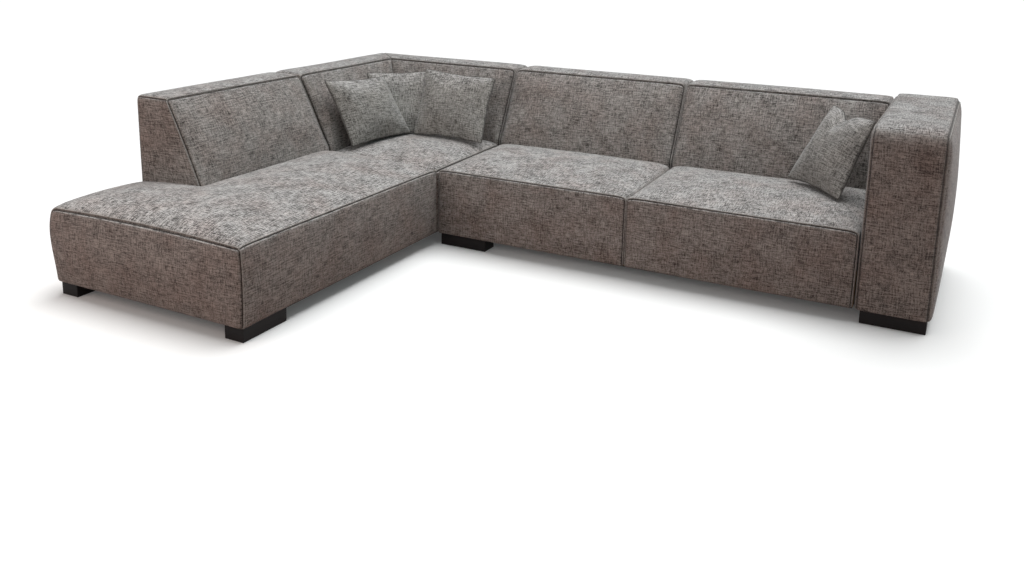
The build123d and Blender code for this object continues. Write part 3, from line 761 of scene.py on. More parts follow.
@dataclass
class Back(SoftBlock):
    """A back block with a slanted, swollen front panel."""

    top: float = 0.812
    top_depth: float = 0.200
    kink: float = 0.423
    puff: float = 0.028
    front_zone: float = 0.08
    top_crown: float = 0.007
    drop: float = 0.009
    pull: float = 0.010
    pull_climb: float = 4.0
    end_crown: float = 0.35
    shoulder: float = 0.048
    front_swell: float = 0.016
    panel_swell: float = 0.004
    end_round: float = 0.022
    front_round: float = 0.013
    rear_round: float = 0.022
    top_round: float = 0.034
    mitre_round: float = 0.006
    mitre: Mitre = Mitre.NONE
    open_end: bool = False

    def lines(self) -> tuple[Array, Array, Array]:
        """Grid lines along the back, through its top and up."""
        height = self.weave.lines(self.layout.ledge + self.layout.back_clear, self.top, [self.kink])
        return self.weave.lines(self.start, self.end), self.weave.lines(0.0, self.top_depth), height

    def shape(self, points: Array, share: float) -> Array:
        """Slanted front with its swell, crowned top, rounded edges and mitred end.

        Args:
            points: Points of the plain block, as deep as the back's top.
            share: How far the swells are filled.

        Returns:
            The moved points.
        """
        low = np.array([self.start, 0.0, self.layout.ledge + self.layout.back_clear])
        high = np.array([self.end, self.top_depth, self.top])
        radius = np.array([[self.end_round, self.front_round, 0.0],
                           [self.end_round, self.rear_round, self.top_round]])
        at_start, at_end = self.mitre is Mitre.START, self.mitre is Mitre.END
        if at_start or at_end:
            radius[int(at_end), 0] = self.mitre_round
        form = rounded(points, low, high, radius)
        along, inward, height = points.T
        well_inside = np.ones(len(along))
        from_start = well_inside if at_start else along - self.start
        from_end = well_inside if at_end else self.end - along
        from_ends = np.minimum(from_start, from_end)
        swell = self.end_crown + (1.0 - self.end_crown) * fullness(from_ends, self.shoulder)
        slack = (1.0 - fullness(from_end if self.open_end else from_ends, self.shoulder)) ** 2
        lean = (self.layout.depth - self.layout.seat_depth - self.top_depth) / (self.top - self.kink)
        slope = math.hypot(1.0, lean)
        climb = np.clip((height - self.kink) / (self.top - self.kink), 0.0, 1.0)
        out = share * self.puff * swell * arc(climb) - self.pull * slack * smooth(climb * self.pull_climb)
        out *= near(inward, self.front_zone)
        front = self.layout.seat_depth + lean * np.maximum(form[:, 2] - self.kink, 0.0)
        deep = front + form[:, 1] * ((self.layout.depth - front) / self.top_depth) - out / slope
        lift = share * self.top_crown * swell * arc(inward / self.top_depth) - self.drop * slack
        up = form[:, 2] + out * lean / slope + lift * smooth(climb)
        part = (form[:, 0] - self.start) / (self.end - self.start)
        reach = deep - self.layout.back_clear * 2.0
        place = form[:, 0]
        if at_start:
            place = part * (self.end + reach) - reach
        elif at_end:
            place = self.start + part * (reach - self.start)
        return np.stack([place, deep, up], axis=1)

    def swells(self) -> dict[Panel, float]:
        """The slanted front swells most; the top and an open end a little."""
        ends = {Panel.START: self.panel_swell} if self.open_end else {}
        return {Panel.FRONT: self.front_swell, Panel.TOP: self.panel_swell, **ends}

    def seams(self) -> tuple[Seam, ...]:
        """The front panel is sewn in all round, but for a mitred end; an open end has a panel of its own.

        Returns:
            The seams.
        """
        cut = {Mitre.START: Panel.START, Mitre.END: Panel.END}.get(self.mitre)
        sides = tuple(side for side in (Panel.START, Panel.TOP, Panel.END) if side is not cut)
        ends = (Seam(0, 0, 1, (Panel.TOP, Panel.REAR)),) if self.open_end else ()
        return Seam(1, 0, 1, sides), *ends


@dataclass
class Arm(SoftBlock):
    """The box arm: one strip over its front and top between two swollen side panels."""

    top: float = 0.838
    nose: float = 0.062
    rear_round: float = 0.026
    pull: float = 0.013
    crown: float = 0.006
    shoulder: float = 0.024
    side_puff: float = 0.034
    side_swell: float = 0.010
    top_swell: float = 0.005
    strip_swell: float = 0.004
    edge_round: float = 0.016

    def lines(self) -> tuple[Array, Array, Array]:
        """Grid lines across the arm, from its front and up."""
        along = self.weave.lines(self.start, self.end)
        return along, self.weave.lines(0.0, self.layout.arm_depth), self.weave.lines(self.layout.base, self.top)

    def shape(self, points: Array, share: float) -> Array:
        """Rounded nose, drawn-in edges and swollen outer side.

        Args:
            points: Points of the plain block.
            share: How far the swells are filled.

        Returns:
            The moved points.
        """
        low = np.array([self.start, 0.0, self.layout.base])
        high = np.array([self.end, self.layout.arm_depth, self.top])
        radius = np.array([[self.edge_round, self.nose, 0.0], [self.edge_round, self.rear_round, self.nose]])
        form = rounded(points, low, high, radius)
        along = points[:, 0]
        across, deep, level = ((points - low) / (high - low)).T
        full = fullness(np.minimum(along - self.start, self.end - along), self.shoulder)
        slack = self.pull * (1.0 - full) ** 2
        form[:, 1] -= slack * np.clip(deep * 2.0 - 1.0, -1.0, 1.0) ** 3
        form[:, 2] -= slack * smooth(level) ** 2
        form[:, 2] += share * self.crown * (full - 1.0) * smooth(level) ** 4
        bulge = share * self.side_puff * arc(deep) ** 0.5 * arc(level) ** 0.5
        form[:, 0] += bulge * np.clip(across * 2.0 - 1.0, 0.0, 1.0) ** 3
        return form

    def swells(self) -> dict[Panel, float]:
        """The outer side swells most."""
        strip = {Panel.FRONT: self.strip_swell, Panel.TOP: self.top_swell, Panel.REAR: self.strip_swell}
        return {Panel.END: self.side_swell, **strip}

    def seams(self) -> tuple[Seam, ...]:
        """Both side panels are sewn to the strip, just inside its edges."""
        over = (Panel.FRONT, Panel.TOP, Panel.REAR)
        return Seam(0, 2, 1, over), Seam(0, -3, -2, over)


class Graph:
    """A node tree, with short ways to add nodes and wire them."""

    def __init__(self, tree: bpy.types.NodeTree) -> None:
        """Takes the tree that the nodes go to."""
        self.tree = tree

    @classmethod
    def group(cls, family: str, name: str, inputs: dict[str, Kind], outputs: dict[str, Kind]) -> "Graph":
        """An empty node group with named sockets.

        Args:
            family: Blender's name of this sort of tree.
            name: Name of the group.
            inputs: Kind of each input.
            outputs: Kind of each output.

        Returns:
            The group, with its input and output nodes.
        """
        tree = bpy.data.node_groups.new(name, family)
        for way, sockets in (("INPUT", inputs), ("OUTPUT", outputs)):
            for label, kind in sockets.items():
                tree.interface.new_socket(name=label, in_out=way, socket_type=kind.value)
        tree.nodes.new("NodeGroupInput")
        tree.nodes.new("NodeGroupOutput")
        return cls(tree)

    def given(self, label: str) -> Socket:
        """An input of the group, as its nodes read it."""
        return self.tree.nodes["Group Input"].outputs[label]

    def give(self, label: str, socket: Socket) -> None:
        """Feeds an output of the group."""
        self.tree.links.new(socket, self.tree.nodes["Group Output"].inputs[label])

    def feed(self, node: bpy.types.Node, values: dict[str | int, object]) -> None:
        """Links or sets the inputs of a node.

        Args:
            node: The node.
            values: A socket or a value for each input, by name or number; a colour needs no alpha.
        """
        for key, value in values.items():
            slot = node.inputs[key]
            if isinstance(value, Socket):
                self.tree.links.new(value, slot)
            else:
                slot.default_value = (*value, 1.0) if slot.type == "RGBA" else value

    def add(self, kind: str, values: dict[str | int, object] | None = None, **settings: object) -> bpy.types.Node:
        """Adds a node.

        Args:
            kind: Blender's name of the node.
            values: A socket or a value for each input.
            settings: The node's own properties.

        Returns:
            The node.
        """
        node = self.tree.nodes.new(kind)
        for key, value in settings.items():
            setattr(node, key, value)
        self.feed(node, values or {})
        return node

    def math(self, operation: str, *values: object) -> Socket:
        """Works with sockets or numbers."""
        return self.add("ShaderNodeMath", dict(enumerate(values)), operation=operation).outputs[0]

    def mix(self, share: object, first: object, second: object, blend: str = "MIX") -> Socket:
        """Mixes two colours, each a socket or a value."""
        values = {0: share, 6: first, 7: second}
        return self.add("ShaderNodeMix", values, data_type="RGBA", blend_type=blend).outputs[2]

    def streaks(self, place: Socket, scale: Spot, detail: float) -> Socket:
        """Noise over a place, stretched by a scale for each axis.

        Args:
            place: Where on the piece.
            scale: Grains to the metre along each axis.
            detail: How many finer layers it has.

        Returns:
            The noise's value.
        """
        mapping = self.add("ShaderNodeMapping", {"Vector": place, "Scale": scale})
        values = {"Vector": mapping.outputs["Vector"], "Scale": 1.0, "Detail": detail,
                  "Roughness": STREAK_ROUGHNESS}
        return self.add("ShaderNodeTexNoise", values, noise_dimensions="3D").outputs["Fac"]

    def spread(self, value: Socket, low: float, high: float) -> Socket:
        """Stretches a value from between two limits to 0 to 1."""
        values = {"Value": value, "From Min": low, "From Max": high}
        return self.add("ShaderNodeMapRange", values, clamp=True).outputs["Result"]

    def show(self, output: str, lit: bpy.types.Node, seen: bpy.types.Node) -> None:
        """Ends the floor's or the sky's tree, which shows the eye one shader and lights the sofa with another.

        Args:
            output: Blender's name of the output node.
            lit: The shader that lights.
            seen: The shader that is seen, also in metal and through glass.
        """
        path = self.add("ShaderNodeLightPath").outputs
        direct = self.math("MAXIMUM", path["Is Camera Ray"], path["Is Glossy Ray"])
        share = self.math("MAXIMUM", direct, path["Is Transmission Ray"])
        choice = self.add("ShaderNodeMixShader", {0: share, 1: lit.outputs[0], 2: seen.outputs[0]})
        self.add(output, {"Surface": choice.outputs[0]})


@dataclass(frozen=True)
class Threads:
    """One layer of a weave: its grain along the cloth's two ways, its fine detail and its weight."""

    across: float
    up: float
    detail: float
    weight: float


@dataclass(frozen=True)
class SlubWeave:
    """Slubbed, cross-hatched cloth: uneven threads both ways, with cloudy patches."""

    weft: Threads = Threads(22.0, 175.0, 2.0, 0.27)
    warp: Threads = Threads(175.0, 26.0, 2.0, 0.23)
    fine_weft: Threads = Threads(80.0, 420.0, 1.0, 0.13)
    fine_warp: Threads = Threads(420.0, 80.0, 1.0, 0.13)
    flecks: Threads = Threads(260.0, 260.0, 2.0, 0.24)
    cloud: Threads = Threads(8.0, 10.0, 3.0, 0.10)
    patch: Threads = Threads(6.0, 5.0, 4.0, 1.0)
    patch_from: float = 0.42
    patch_to: float = 0.68
    middle: float = 0.505
    gain: float = 5.6
    # Extra contrast of the weave on upward faces: painted light.
    top_light_gain: float = 2.8
    tone_half: float = 0.5
    # Colour that darkens the cloth along the seams and pillow rims: painted shade.
    seam_shade: Colour = (0.16, 0.15, 0.14)

    def layer(self, graph: Graph, threads: Threads) -> Socket:
        """Noise of one layer over the cloth."""
        return graph.streaks(graph.given("Place"), (threads.across, threads.up, 1.0), threads.detail)

    def make(self) -> bpy.types.NodeTree:
        """Makes the shared group.

        Returns:
            A group that gives the cloth's colour, with painted shade along the seams and painted light on upward
            faces, and the height of its threads.
        """
        inputs = {"Place": Kind.VECTOR, "Dark": Kind.COLOUR, "Light": Kind.COLOUR, "Warm": Kind.COLOUR,
                  "Bloom": Kind.COLOUR, "Patches": Kind.VALUE, "Seam": Kind.VALUE, "Nap": Kind.VALUE}
        outputs = {"Colour": Kind.COLOUR, "Height": Kind.VALUE}
        graph = Graph.group("ShaderNodeTree", "slub_weave", inputs, outputs)
        layers = [graph.math("MULTIPLY", self.layer(graph, threads), threads.weight)
                  for threads in (self.weft, self.warp, self.fine_weft, self.fine_warp, self.flecks)]
        mixed = layers[0]
        for layer in layers[1:]:
            mixed = graph.math("ADD", mixed, layer)
        cloud = graph.math("SUBTRACT", self.layer(graph, self.cloud), 0.5)
        tone = graph.math("ADD", mixed, graph.math("MULTIPLY", cloud, self.cloud.weight))
        # Painted light: upward faces get more contrast and a lighter, cooler light colour.
        nap = graph.given("Nap")
        gain = graph.math("ADD", graph.math("MULTIPLY", nap, self.top_light_gain), self.gain)
        lit = graph.math("MULTIPLY", graph.math("SUBTRACT", tone, self.middle), gain)
        light = graph.mix(nap, graph.given("Light"), graph.given("Bloom"))
        body = graph.mix(graph.spread(lit, -self.tone_half, self.tone_half), graph.given("Dark"), light)
        patch = graph.spread(self.layer(graph, self.patch), self.patch_from, self.patch_to)
        share = graph.math("MULTIPLY", patch, graph.given("Patches"))
        tinted = graph.mix(share, body, graph.given("Warm"), "MULTIPLY")
        # Painted shade: the colour is darkened along the seams and pillow rims.
        graph.give("Colour", graph.mix(graph.given("Seam"), tinted, self.seam_shade, "MULTIPLY"))
        graph.give("Height", mixed)
        return graph.tree


@dataclass(frozen=True)
class WoodGrain:
    """Long wood grain with pores."""

    ring_scale: Spot = (6.0, 6.0, 90.0)
    pore_scale: Spot = (40.0, 40.0, 600.0)
    ring_detail: float = 4.0
    pore_detail: float = 2.0
    ring_share: float = 0.7
    pore_share: float = 0.3
    dark_to: float = 0.35
    light_from: float = 0.68
    pore_roughness: float = 0.2

    def make(self) -> bpy.types.NodeTree:
        """Makes the shared group.

        Returns:
            A group that gives the wood's colour, the height of its grain and its roughness.
        """
        inputs = {"Place": Kind.VECTOR, "Dark": Kind.COLOUR, "Light": Kind.COLOUR, "Gloss": Kind.VALUE}
        outputs = {"Colour": Kind.COLOUR, "Height": Kind.VALUE, "Roughness": Kind.VALUE}
        graph = Graph.group("ShaderNodeTree", "wood_grain", inputs, outputs)
        rings = graph.streaks(graph.given("Place"), self.ring_scale, self.ring_detail)
        pores = graph.streaks(graph.given("Place"), self.pore_scale, self.pore_detail)
        grain = graph.math("ADD", graph.math("MULTIPLY", rings, self.ring_share),
                           graph.math("MULTIPLY", pores, self.pore_share))
        share = graph.spread(grain, self.dark_to, self.light_from)
        rough = graph.math("ADD", graph.given("Gloss"), graph.math("MULTIPLY", pores, self.pore_roughness))
        graph.give("Colour", graph.mix(share, graph.given("Dark"), graph.given("Light")))
        graph.give("Height", grain)
        graph.give("Roughness", rough)
        return graph.tree


@dataclass(frozen=True)
class Finish:
    """What every finish has: a name, a dark and a light colour, and a way to start its material."""

    name: str
    dark: Colour
    light: Colour

    def start(self) -> tuple[bpy.types.Material, Graph, bpy.types.Node]:
        """Makes the material with its shader.

        Returns:
            The material, its nodes and its Principled shader.
        """
        material = bpy.data.materials.new(self.name)
        material.use_nodes = True
        return material, Graph(material.node_tree), material.node_tree.nodes["Principled BSDF"]

    def relief(self, graph: Graph, height: Socket, strength: float, distance: float) -> Socket:
        """Turns a height into a normal for the shader."""
        values = {"Height": height, "Strength": strength, "Distance": distance}
        return graph.add("ShaderNodeBump", values).outputs["Normal"]


@dataclass(frozen=True)
class ClothFinish(Finish):
    """Slubbed chenille that follows the cloth coordinates of its piece."""

    warm: Colour
    # Lighter, cooler thread colour on upward faces: painted light.
    top_light_colour: Colour = (0.60, 0.585, 0.575)
    patches: float = 0.5
    roughness: float = 0.92
    specular: float = 0.15
    sheen: float = 0.25
    sheen_roughness: float = 0.45
    sheen_tint: Colour = (0.93, 0.97, 1.0)
    relief_strength: float = 0.55
    relief_depth: float = 0.0016

    def make(self, weave: bpy.types.NodeTree) -> bpy.types.Material:
        """Makes the material around the shared weave.

        Args:
            weave: The group that gives its colour and height.

        Returns:
            The material.
        """
        material, graph, shader = self.start()
        group = graph.add("ShaderNodeGroup", node_tree=weave)
        graph.feed(group, {
            "Place": graph.add("ShaderNodeUVMap", uv_map="cloth").outputs["UV"],
            "Dark": self.dark, "Light": self.light, "Warm": self.warm, "Bloom": self.top_light_colour, "Patches": self.patches,
            # Painted shade along the seams and pillow rims.
            "Seam": graph.add("ShaderNodeAttribute", attribute_name="seam").outputs["Fac"],
            # Painted light on upward faces.
            "Nap": graph.add("ShaderNodeAttribute", attribute_name="nap").outputs["Fac"],
        })
        graph.feed(shader, {
            "Base Color": group.outputs["Colour"], "Roughness": self.roughness, "Specular IOR Level": self.specular,
            "Sheen Weight": self.sheen, "Sheen Roughness": self.sheen_roughness, "Sheen Tint": self.sheen_tint,
            "Normal": self.relief(graph, group.outputs["Height"], self.relief_strength, self.relief_depth),
        })
        return material


@dataclass(frozen=True)
class WoodFinish(Finish):
    """Wood whose grain runs through its piece."""

    gloss: float
    specular: float
    relief_strength: float = 0.25
    relief_depth: float = 0.0006

    def make(self, grain: bpy.types.NodeTree) -> bpy.types.Material:
        """Makes the material around the shared grain.

        Args:
            grain: The group that gives its colour, height and roughness.

        Returns:
            The material.
        """
        material, graph, shader = self.start()
        place = graph.add("ShaderNodeTexCoord").outputs["Object"]
        group = graph.add("ShaderNodeGroup", node_tree=grain)
        graph.feed(group, {"Place": place, "Dark": self.dark, "Light": self.light, "Gloss": self.gloss})
        graph.feed(shader, {
            "Base Color": group.outputs["Colour"], "Roughness": group.outputs["Roughness"],
            "Specular IOR Level": self.specular,
            "Normal": self.relief(graph, group.outputs["Height"], self.relief_strength, self.relief_depth),
        })
        return material


@dataclass(frozen=True)
class PlainFinish(Finish):
    """Metal, webbing or thin cloth with fine uneven streaks."""

    scale: Spot
    roughness: float
    metallic: float = 0.0
    detail: float = 2.0
    dark_to: float = 0.35
    light_from: float = 0.65
    relief_strength: float = 0.2
    relief_depth: float = 0.0004

    def make(self) -> bpy.types.Material:
        """Makes the material.

        Returns:
            The material.
        """
        material, graph, shader = self.start()
        streak = graph.streaks(graph.add("ShaderNodeTexCoord").outputs["Object"], self.scale, self.detail)
        graph.feed(shader, {
            "Base Color": graph.mix(graph.spread(streak, self.dark_to, self.light_from), self.dark, self.light),
            "Roughness": self.roughness, "Metallic": self.metallic,
            "Normal": self.relief(graph, streak, self.relief_strength, self.relief_depth),
        })
        return material


@dataclass(frozen=True)
class Lamp:
    """A lamp of the studio, turned from its place to what it lights."""

    name: str
    power: float
    colour: Colour
    aim: Spot
    place: Spot = (0.0, 0.0, 0.0)

    def hang(self, kind: str) -> bpy.types.Light:
        """Hangs the lamp.

        Args:
            kind: Blender's name of this sort of lamp.

        Returns:
            The lamp, with its power and colour.
        """
        lamp = bpy.data.lights.new(self.name, kind)
        lamp.energy = self.power
        lamp.color = self.colour
        holder = link_object(self.name, lamp)
        holder.location = self.place
        holder.rotation_mode = "QUATERNION"
        holder.rotation_quaternion = (Vector(self.aim) - Vector(self.place)).to_track_quat("-Z", "Y")
        return lamp


@dataclass(frozen=True)
class FarLamp(Lamp):
    """A soft lamp far off, whose aim is the way that it shines; its width is in degrees."""

    angle: float = 60.0

    def make(self) -> None:
        """Makes the lamp."""
        self.hang("SUN").angle = math.radians(self.angle)


@dataclass(frozen=True)
class Softbox(Lamp):
    """A large square lamp; the spread of its beam is in degrees."""

    side: float = 2.0
    spread: float = 180.0

    def make(self) -> None:
        """Makes the lamp."""
        lamp = self.hang("AREA")
        lamp.size, lamp.spread = self.side, math.radians(self.spread)


@dataclass(frozen=True)
class Studio:
    """Floor, light and camera; the camera's place and angles are fitted to the photograph."""

    floor_half: float = 30.0
    floor_seen: Colour = (0.95, 0.95, 0.95)
    floor_glow: float = 0.05
    floor_lit: Colour = (0.28, 0.17, 0.14)
    sky: float = 0.21
    lamps: tuple[FarLamp | Softbox, ...] = (
        FarLamp("overhead", 2.8, (0.985, 1.0, 1.0), (-0.06, -0.26, -1.0), angle=46.0),
        FarLamp("right_fill", 0.12, (0.60, 1.0, 0.92), (-1.0, 0.25, -0.35)),
        Softbox("left_fill", 26.0, (1.0, 0.82, 0.74), (-0.3, 0.0, 0.2), (-2.0, -3.5, 2.0)),
        Softbox("back_fill", 1.8, (0.95, 1.0, 1.0), (0.05, 0.9, 0.62), (0.2, -3.2, 2.7), spread=30.0),
    )
    camera_place: Spot = (1.7677, -3.7606, 1.5387)
    yaw: float = 0.4839
    pitch: float = 0.2080
    roll: float = 0.0167
    focal_pixels: float = 938.38
    image_width: float = 1024.0
    sensor: float = 36.0
    shift_x: float = 0.01737
    shift_y: float = -0.15

    def make_floor(self) -> None:
        """A plain floor, white to the eye, that throws back little light and keeps the sofa's shadow."""
        half = self.floor_half
        points = np.array([(-half, -half, 0), (half, -half, 0), (half, half, 0), (-half, half, 0)], float)
        floor = make_mesh_object("floor", points, np.array([[0, 1, 2, 3]]))
        material = bpy.data.materials.new("floor")
        material.use_nodes = True
        material.node_tree.nodes.clear()
        graph = Graph(material.node_tree)
        white = graph.add("ShaderNodeBsdfDiffuse", {"Color": self.floor_seen})
        glow = graph.add("ShaderNodeEmission", {"Strength": self.floor_glow})
        seen = graph.add("ShaderNodeAddShader", {0: white.outputs[0], 1: glow.outputs[0]})
        lit = graph.add("ShaderNodeBsdfDiffuse", {"Color": self.floor_lit})
        graph.show("ShaderNodeOutputMaterial", lit, seen)
        floor.data.materials.append(material)

    def make_light(self) -> None:
        """An even white sky, a broad soft lamp overhead and three weak fills."""
        world = bpy.data.worlds.new("studio")
        bpy.context.scene.world = world
        world.use_nodes = True
        world.node_tree.nodes.clear()
        graph = Graph(world.node_tree)
        lit = graph.add("ShaderNodeBackground", {"Color": WHITE, "Strength": self.sky})
        seen = graph.add("ShaderNodeBackground", {"Color": WHITE, "Strength": 1.0})
        graph.show("ShaderNodeOutputWorld", lit, seen)
        for lamp in self.lamps:
            lamp.make()

    def make_camera(self) -> None:
        """The camera, at the photograph's angle and framing."""
        level = Vector((-math.sin(self.yaw), math.cos(self.yaw), 0.0))
        ahead = level * math.cos(self.pitch) - Vector((0.0, 0.0, math.sin(self.pitch)))
        right = Vector((math.cos(self.yaw), math.sin(self.yaw), 0.0))
        up = right.cross(ahead)
        rolled_right = right * math.cos(self.roll) + up * math.sin(self.roll)
        rolled_up = up * math.cos(self.roll) - right * math.sin(self.roll)
        data = bpy.data.cameras.new("camera")
        data.sensor_fit = "HORIZONTAL"
        data.sensor_width = self.sensor
        data.lens = self.focal_pixels / self.image_width * self.sensor
        data.shift_x = self.shift_x
        data.shift_y = self.shift_y
        camera = link_object("camera", data)
        turn = Matrix((rolled_right, rolled_up, -ahead)).transposed().to_4x4()
        camera.matrix_world = Matrix.Translation(self.camera_place) @ turn
        bpy.context.scene.camera = camera


@dataclass
class Pillow:
    """A loose knife-edged pillow, filled by cloth and stood where its solid stands."""

    name: str
    turn: float
    lean: float
    width: float = 0.450
    height: float = 0.390
    thick: float = 0.135
    offset: float = 0.0
    fill: float = 0.6
    cells: int = 44
    first_fill: float = 0.01
    draw: float = 0.93
    dome: float = 0.55
    gather: float = 0.14
    # How dark the painted shade along the rim is.
    rim_shade: float = 0.8
    squeeze: tuple[float, float] = (1.0, 1.0)
    chop: float = 0.0
    chop_place: float = -0.1
    chop_width: float = 0.22
    chop_pinch: float = 4.0
    tugs: tuple[tuple[float, float], ...] = ((0.0, 0.0),) * 4
    piece: bpy.types.Object | None = None
    rim: list[int] = field(default_factory=list)

    def build(self) -> None:
        """Makes two sewn squares of cloth, lying flat and hardly filled, with places on the cloth as the UV map."""
        last, count = self.cells, self.cells + 1
        share = np.linspace(-1.0, 1.0, count)
        across, up = np.meshgrid(share, share, indexing="ij")
        bump = self.first_fill * np.maximum(1.0 - across ** 2, 0.0) * np.maximum(1.0 - up ** 2, 0.0)
        front = np.stack([across * self.width / 2, up * self.height / 2, bump], axis=2).reshape(-1, 3)
        inner = (np.abs(across) < 1.0) & (np.abs(up) < 1.0)
        ids = np.arange(count * count).reshape(count, count)
        back_ids = ids.copy()
        back_ids[inner] = count * count + np.arange(int(inner.sum()))
        back = front[inner.ravel()] * np.array([1.0, 1.0, -1.0])
        quads, spots = [], []
        for column in range(last):
            for row in range(last):
                corners = [(column, row), (column + 1, row), (column + 1, row + 1), (column, row + 1)]
                for sheet, ring in ((ids, corners), (back_ids, corners[::-1])):
                    quads.append([sheet[corner] for corner in ring])
                    spots.append(ring)
        self.piece = make_mesh_object(self.name, np.concatenate([front, back]), np.array(quads))
        edge = [(0, row) for row in range(last)] + [(column, last) for column in range(last)]
        edge += [(last, last - row) for row in range(last)] + [(last - column, 0) for column in range(count)]
        self.rim = [int(ids[spot]) for spot in edge]
        flat = np.array(spots, np.float32) / last * np.array([self.width, self.height], np.float32) + self.offset
        self.piece.data.uv_layers.new(name="cloth").data.foreach_set("uv", flat.astype(np.float32).ravel())

    def domed(self, points: Array) -> Array:
        """Pillow form worked out without cloth: crowned, with its sides drawn in.

        Args:
            points: Points of the flat pillow.

        Returns:
            The moved points.
        """
        across = points[:, 0] / (self.width / 2)
        up = points[:, 1] / (self.height / 2)
        crown = np.maximum(1.0 - across ** 2, 0.0) ** self.dome * np.maximum(1.0 - up ** 2, 0.0) ** self.dome
        pull = 1.0 - self.draw
        form = points.copy()
        form[:, 0] *= 1.0 - pull * arc((up + 1.0) / 2.0)
        form[:, 1] *= 1.0 - pull * arc((across + 1.0) / 2.0)
        form[:, 2] = np.sign(points[:, 2]) * self.thick / 2 * crown
        return form

    def creased(self, form: Array) -> Array:
        """Squeezes the pillow to one side, folds its top edge in and tugs its corners, from the top left round.

        Args:
            form: Points of the filled pillow, lying flat.

        Returns:
            The moved points.
        """
        half = self.width / 2
        up = form[:, 1] / self.height + 0.5
        narrow = self.squeeze[0] + (self.squeeze[1] - self.squeeze[0]) * up
        from_fold = (form[:, 0] / half - self.chop_place) / self.chop_width
        fold = self.chop * np.exp(-from_fold ** 2) * smooth(up * 2.0 - 1.0)
        right = form[:, 0] / self.width + 0.5
        left, down = 1.0 - right, 1.0 - up
        moved = np.stack([left * up, right * up, right * down, left * down], axis=1) @ np.array(self.tugs)
        place = half - (half - form[:, 0]) * narrow + moved[:, 0]
        return np.stack([place, form[:, 1] - fold + moved[:, 1], form[:, 2] * (1.0 - self.chop_pinch * fold)], axis=1)

    def settle(self, swollen: Array) -> None:
        """Fits the filled cloth to the pillow's size and stands it where its solid stands.

        Args:
            swollen: Where the cloth left each vertex.
        """
        size = np.array([self.width, self.height, self.thick])
        most, least = swollen.max(axis=0), swollen.min(axis=0)
        form = (swollen - (most + least) / 2) * (size / (most - least))
        flat = read_points(self.piece.data)
        form[:, :2] = flat[:, :2] + self.gather * (form[:, :2] - flat[:, :2])
        form[:, 2] = 0.5 * (form[:, 2] + self.domed(flat)[:, 2])
        low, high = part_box(f"{self.name}_cover")
        place = Matrix.Translation((low + high) / 2) @ Matrix.Rotation(math.radians(self.turn), 4, "Z")
        place = place @ Matrix.Rotation(math.radians(90.0 - self.lean), 4, "X")
        turn = np.array(place.to_3x3())
        write_points(self.piece.data, self.creased(form) @ turn.T + np.array(place.translation))

    def sew(self) -> SeamPath:
        """Rounds the pillow off and paints shade along its rim.

        Returns:
            The path of its rim.
        """
        sewn = np.zeros(len(self.piece.data.vertices))
        # Painted shade: the cloth is darkened along the rim.
        sewn[self.rim] = self.rim_shade
        points, normals = round_off(self.piece, sewn)
        return SeamPath(points[self.rim], normals[self.rim])

    def dress(self, cloth: bpy.types.Material) -> None:
        """Gives the pillow its cloth, hangs it on its body and hides the imported cover and insert that it stands
        for.

        Args:
            cloth: The pillows' cloth.
        """
        cover(self.piece, cloth)
        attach(self.piece, self.name)
        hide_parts(f"{self.name}_cover", f"{self.name}_insert")


@dataclass(frozen=True)
class Follower:
    """A geometry tree that lays something along paths, with its sizes."""

    tree: bpy.types.NodeTree
    sizes: dict[str, float]

    def make(self, name: str, paths: Sequence[SeamPath], material: bpy.types.Material) -> bpy.types.Object:
        """Runs the tree along paths and keeps the result as a plain mesh.

        Args:
            name: Name of the piece.
            paths: The paths to follow.
            material: Material of the piece.

        Returns:
            The finished piece.
        """
        edges, first = [], 0
        for path in paths:
            edges += [(first + step, first + step + 1) for step in range(len(path.points) - 1)]
            first += len(path.points)
        mesh = bpy.data.meshes.new(name)
        mesh.from_pydata(np.concatenate([path.points for path in paths]).tolist(), edges, [])
        rises = np.concatenate([path.rises for path in paths]).astype(np.float32)
        mesh.attributes.new("rise", "FLOAT_VECTOR", "POINT").data.foreach_set("vector", rises.ravel())
        piece = link_object(name, mesh)
        modifier = piece.modifiers.new("Follow", "NODES")
        modifier.node_group = self.tree
        values = {**self.sizes, "Material": material}
        for item in self.tree.interface.items_tree:
            if item.in_out == "INPUT" and item.name in values:
                modifier[item.identifier] = values[item.name]
        bake_modifiers(piece)
        piece.data.shade_smooth()
        LOG.info("%s: %d faces", name, len(piece.data.polygons))
        return piece


def start_path(name: str, sizes: Sequence[str]) -> tuple[Graph, Socket, Socket]:
    """Starts a geometry tree that follows a path in even steps.

    Args:
        name: Name of the tree.
        sizes: Its named sizes, the step among them.

    Returns:
        The tree, the even curve, and the way out of the cloth at each of its points.
    """
    inputs = {"Geometry": Kind.GEOMETRY, **{size: Kind.VALUE for size in sizes}, "Material": Kind.MATERIAL}
    graph = Graph.group("GeometryNodeTree", name, inputs, {"Geometry": Kind.GEOMETRY})
    curve = graph.add("GeometryNodeMeshToCurve", {"Mesh": graph.given("Geometry")})
    values = {"Curve": curve.outputs[0], "Length": graph.given("Step")}
    even = graph.add("GeometryNodeResampleCurve", values, mode="LENGTH")
    rise = graph.add("GeometryNodeInputNamedAttribute", {"Name": "rise"}, data_type="FLOAT_VECTOR")
    return graph, even.outputs[0], rise.outputs["Attribute"]


def end_path(graph: Graph, geometry: Socket) -> bpy.types.NodeTree:
    """Ends a geometry tree: realised, with its material set.

    Args:
        graph: The tree's nodes.
        geometry: What the tree has made.

    Returns:
        The finished tree.
    """
    real = graph.add("GeometryNodeRealizeInstances", {0: geometry})
    shade = graph.add("GeometryNodeSetMaterial", {"Geometry": real.outputs[0], "Material": graph.given("Material")})
    graph.give("Geometry", shade.outputs[0])
    return graph.tree


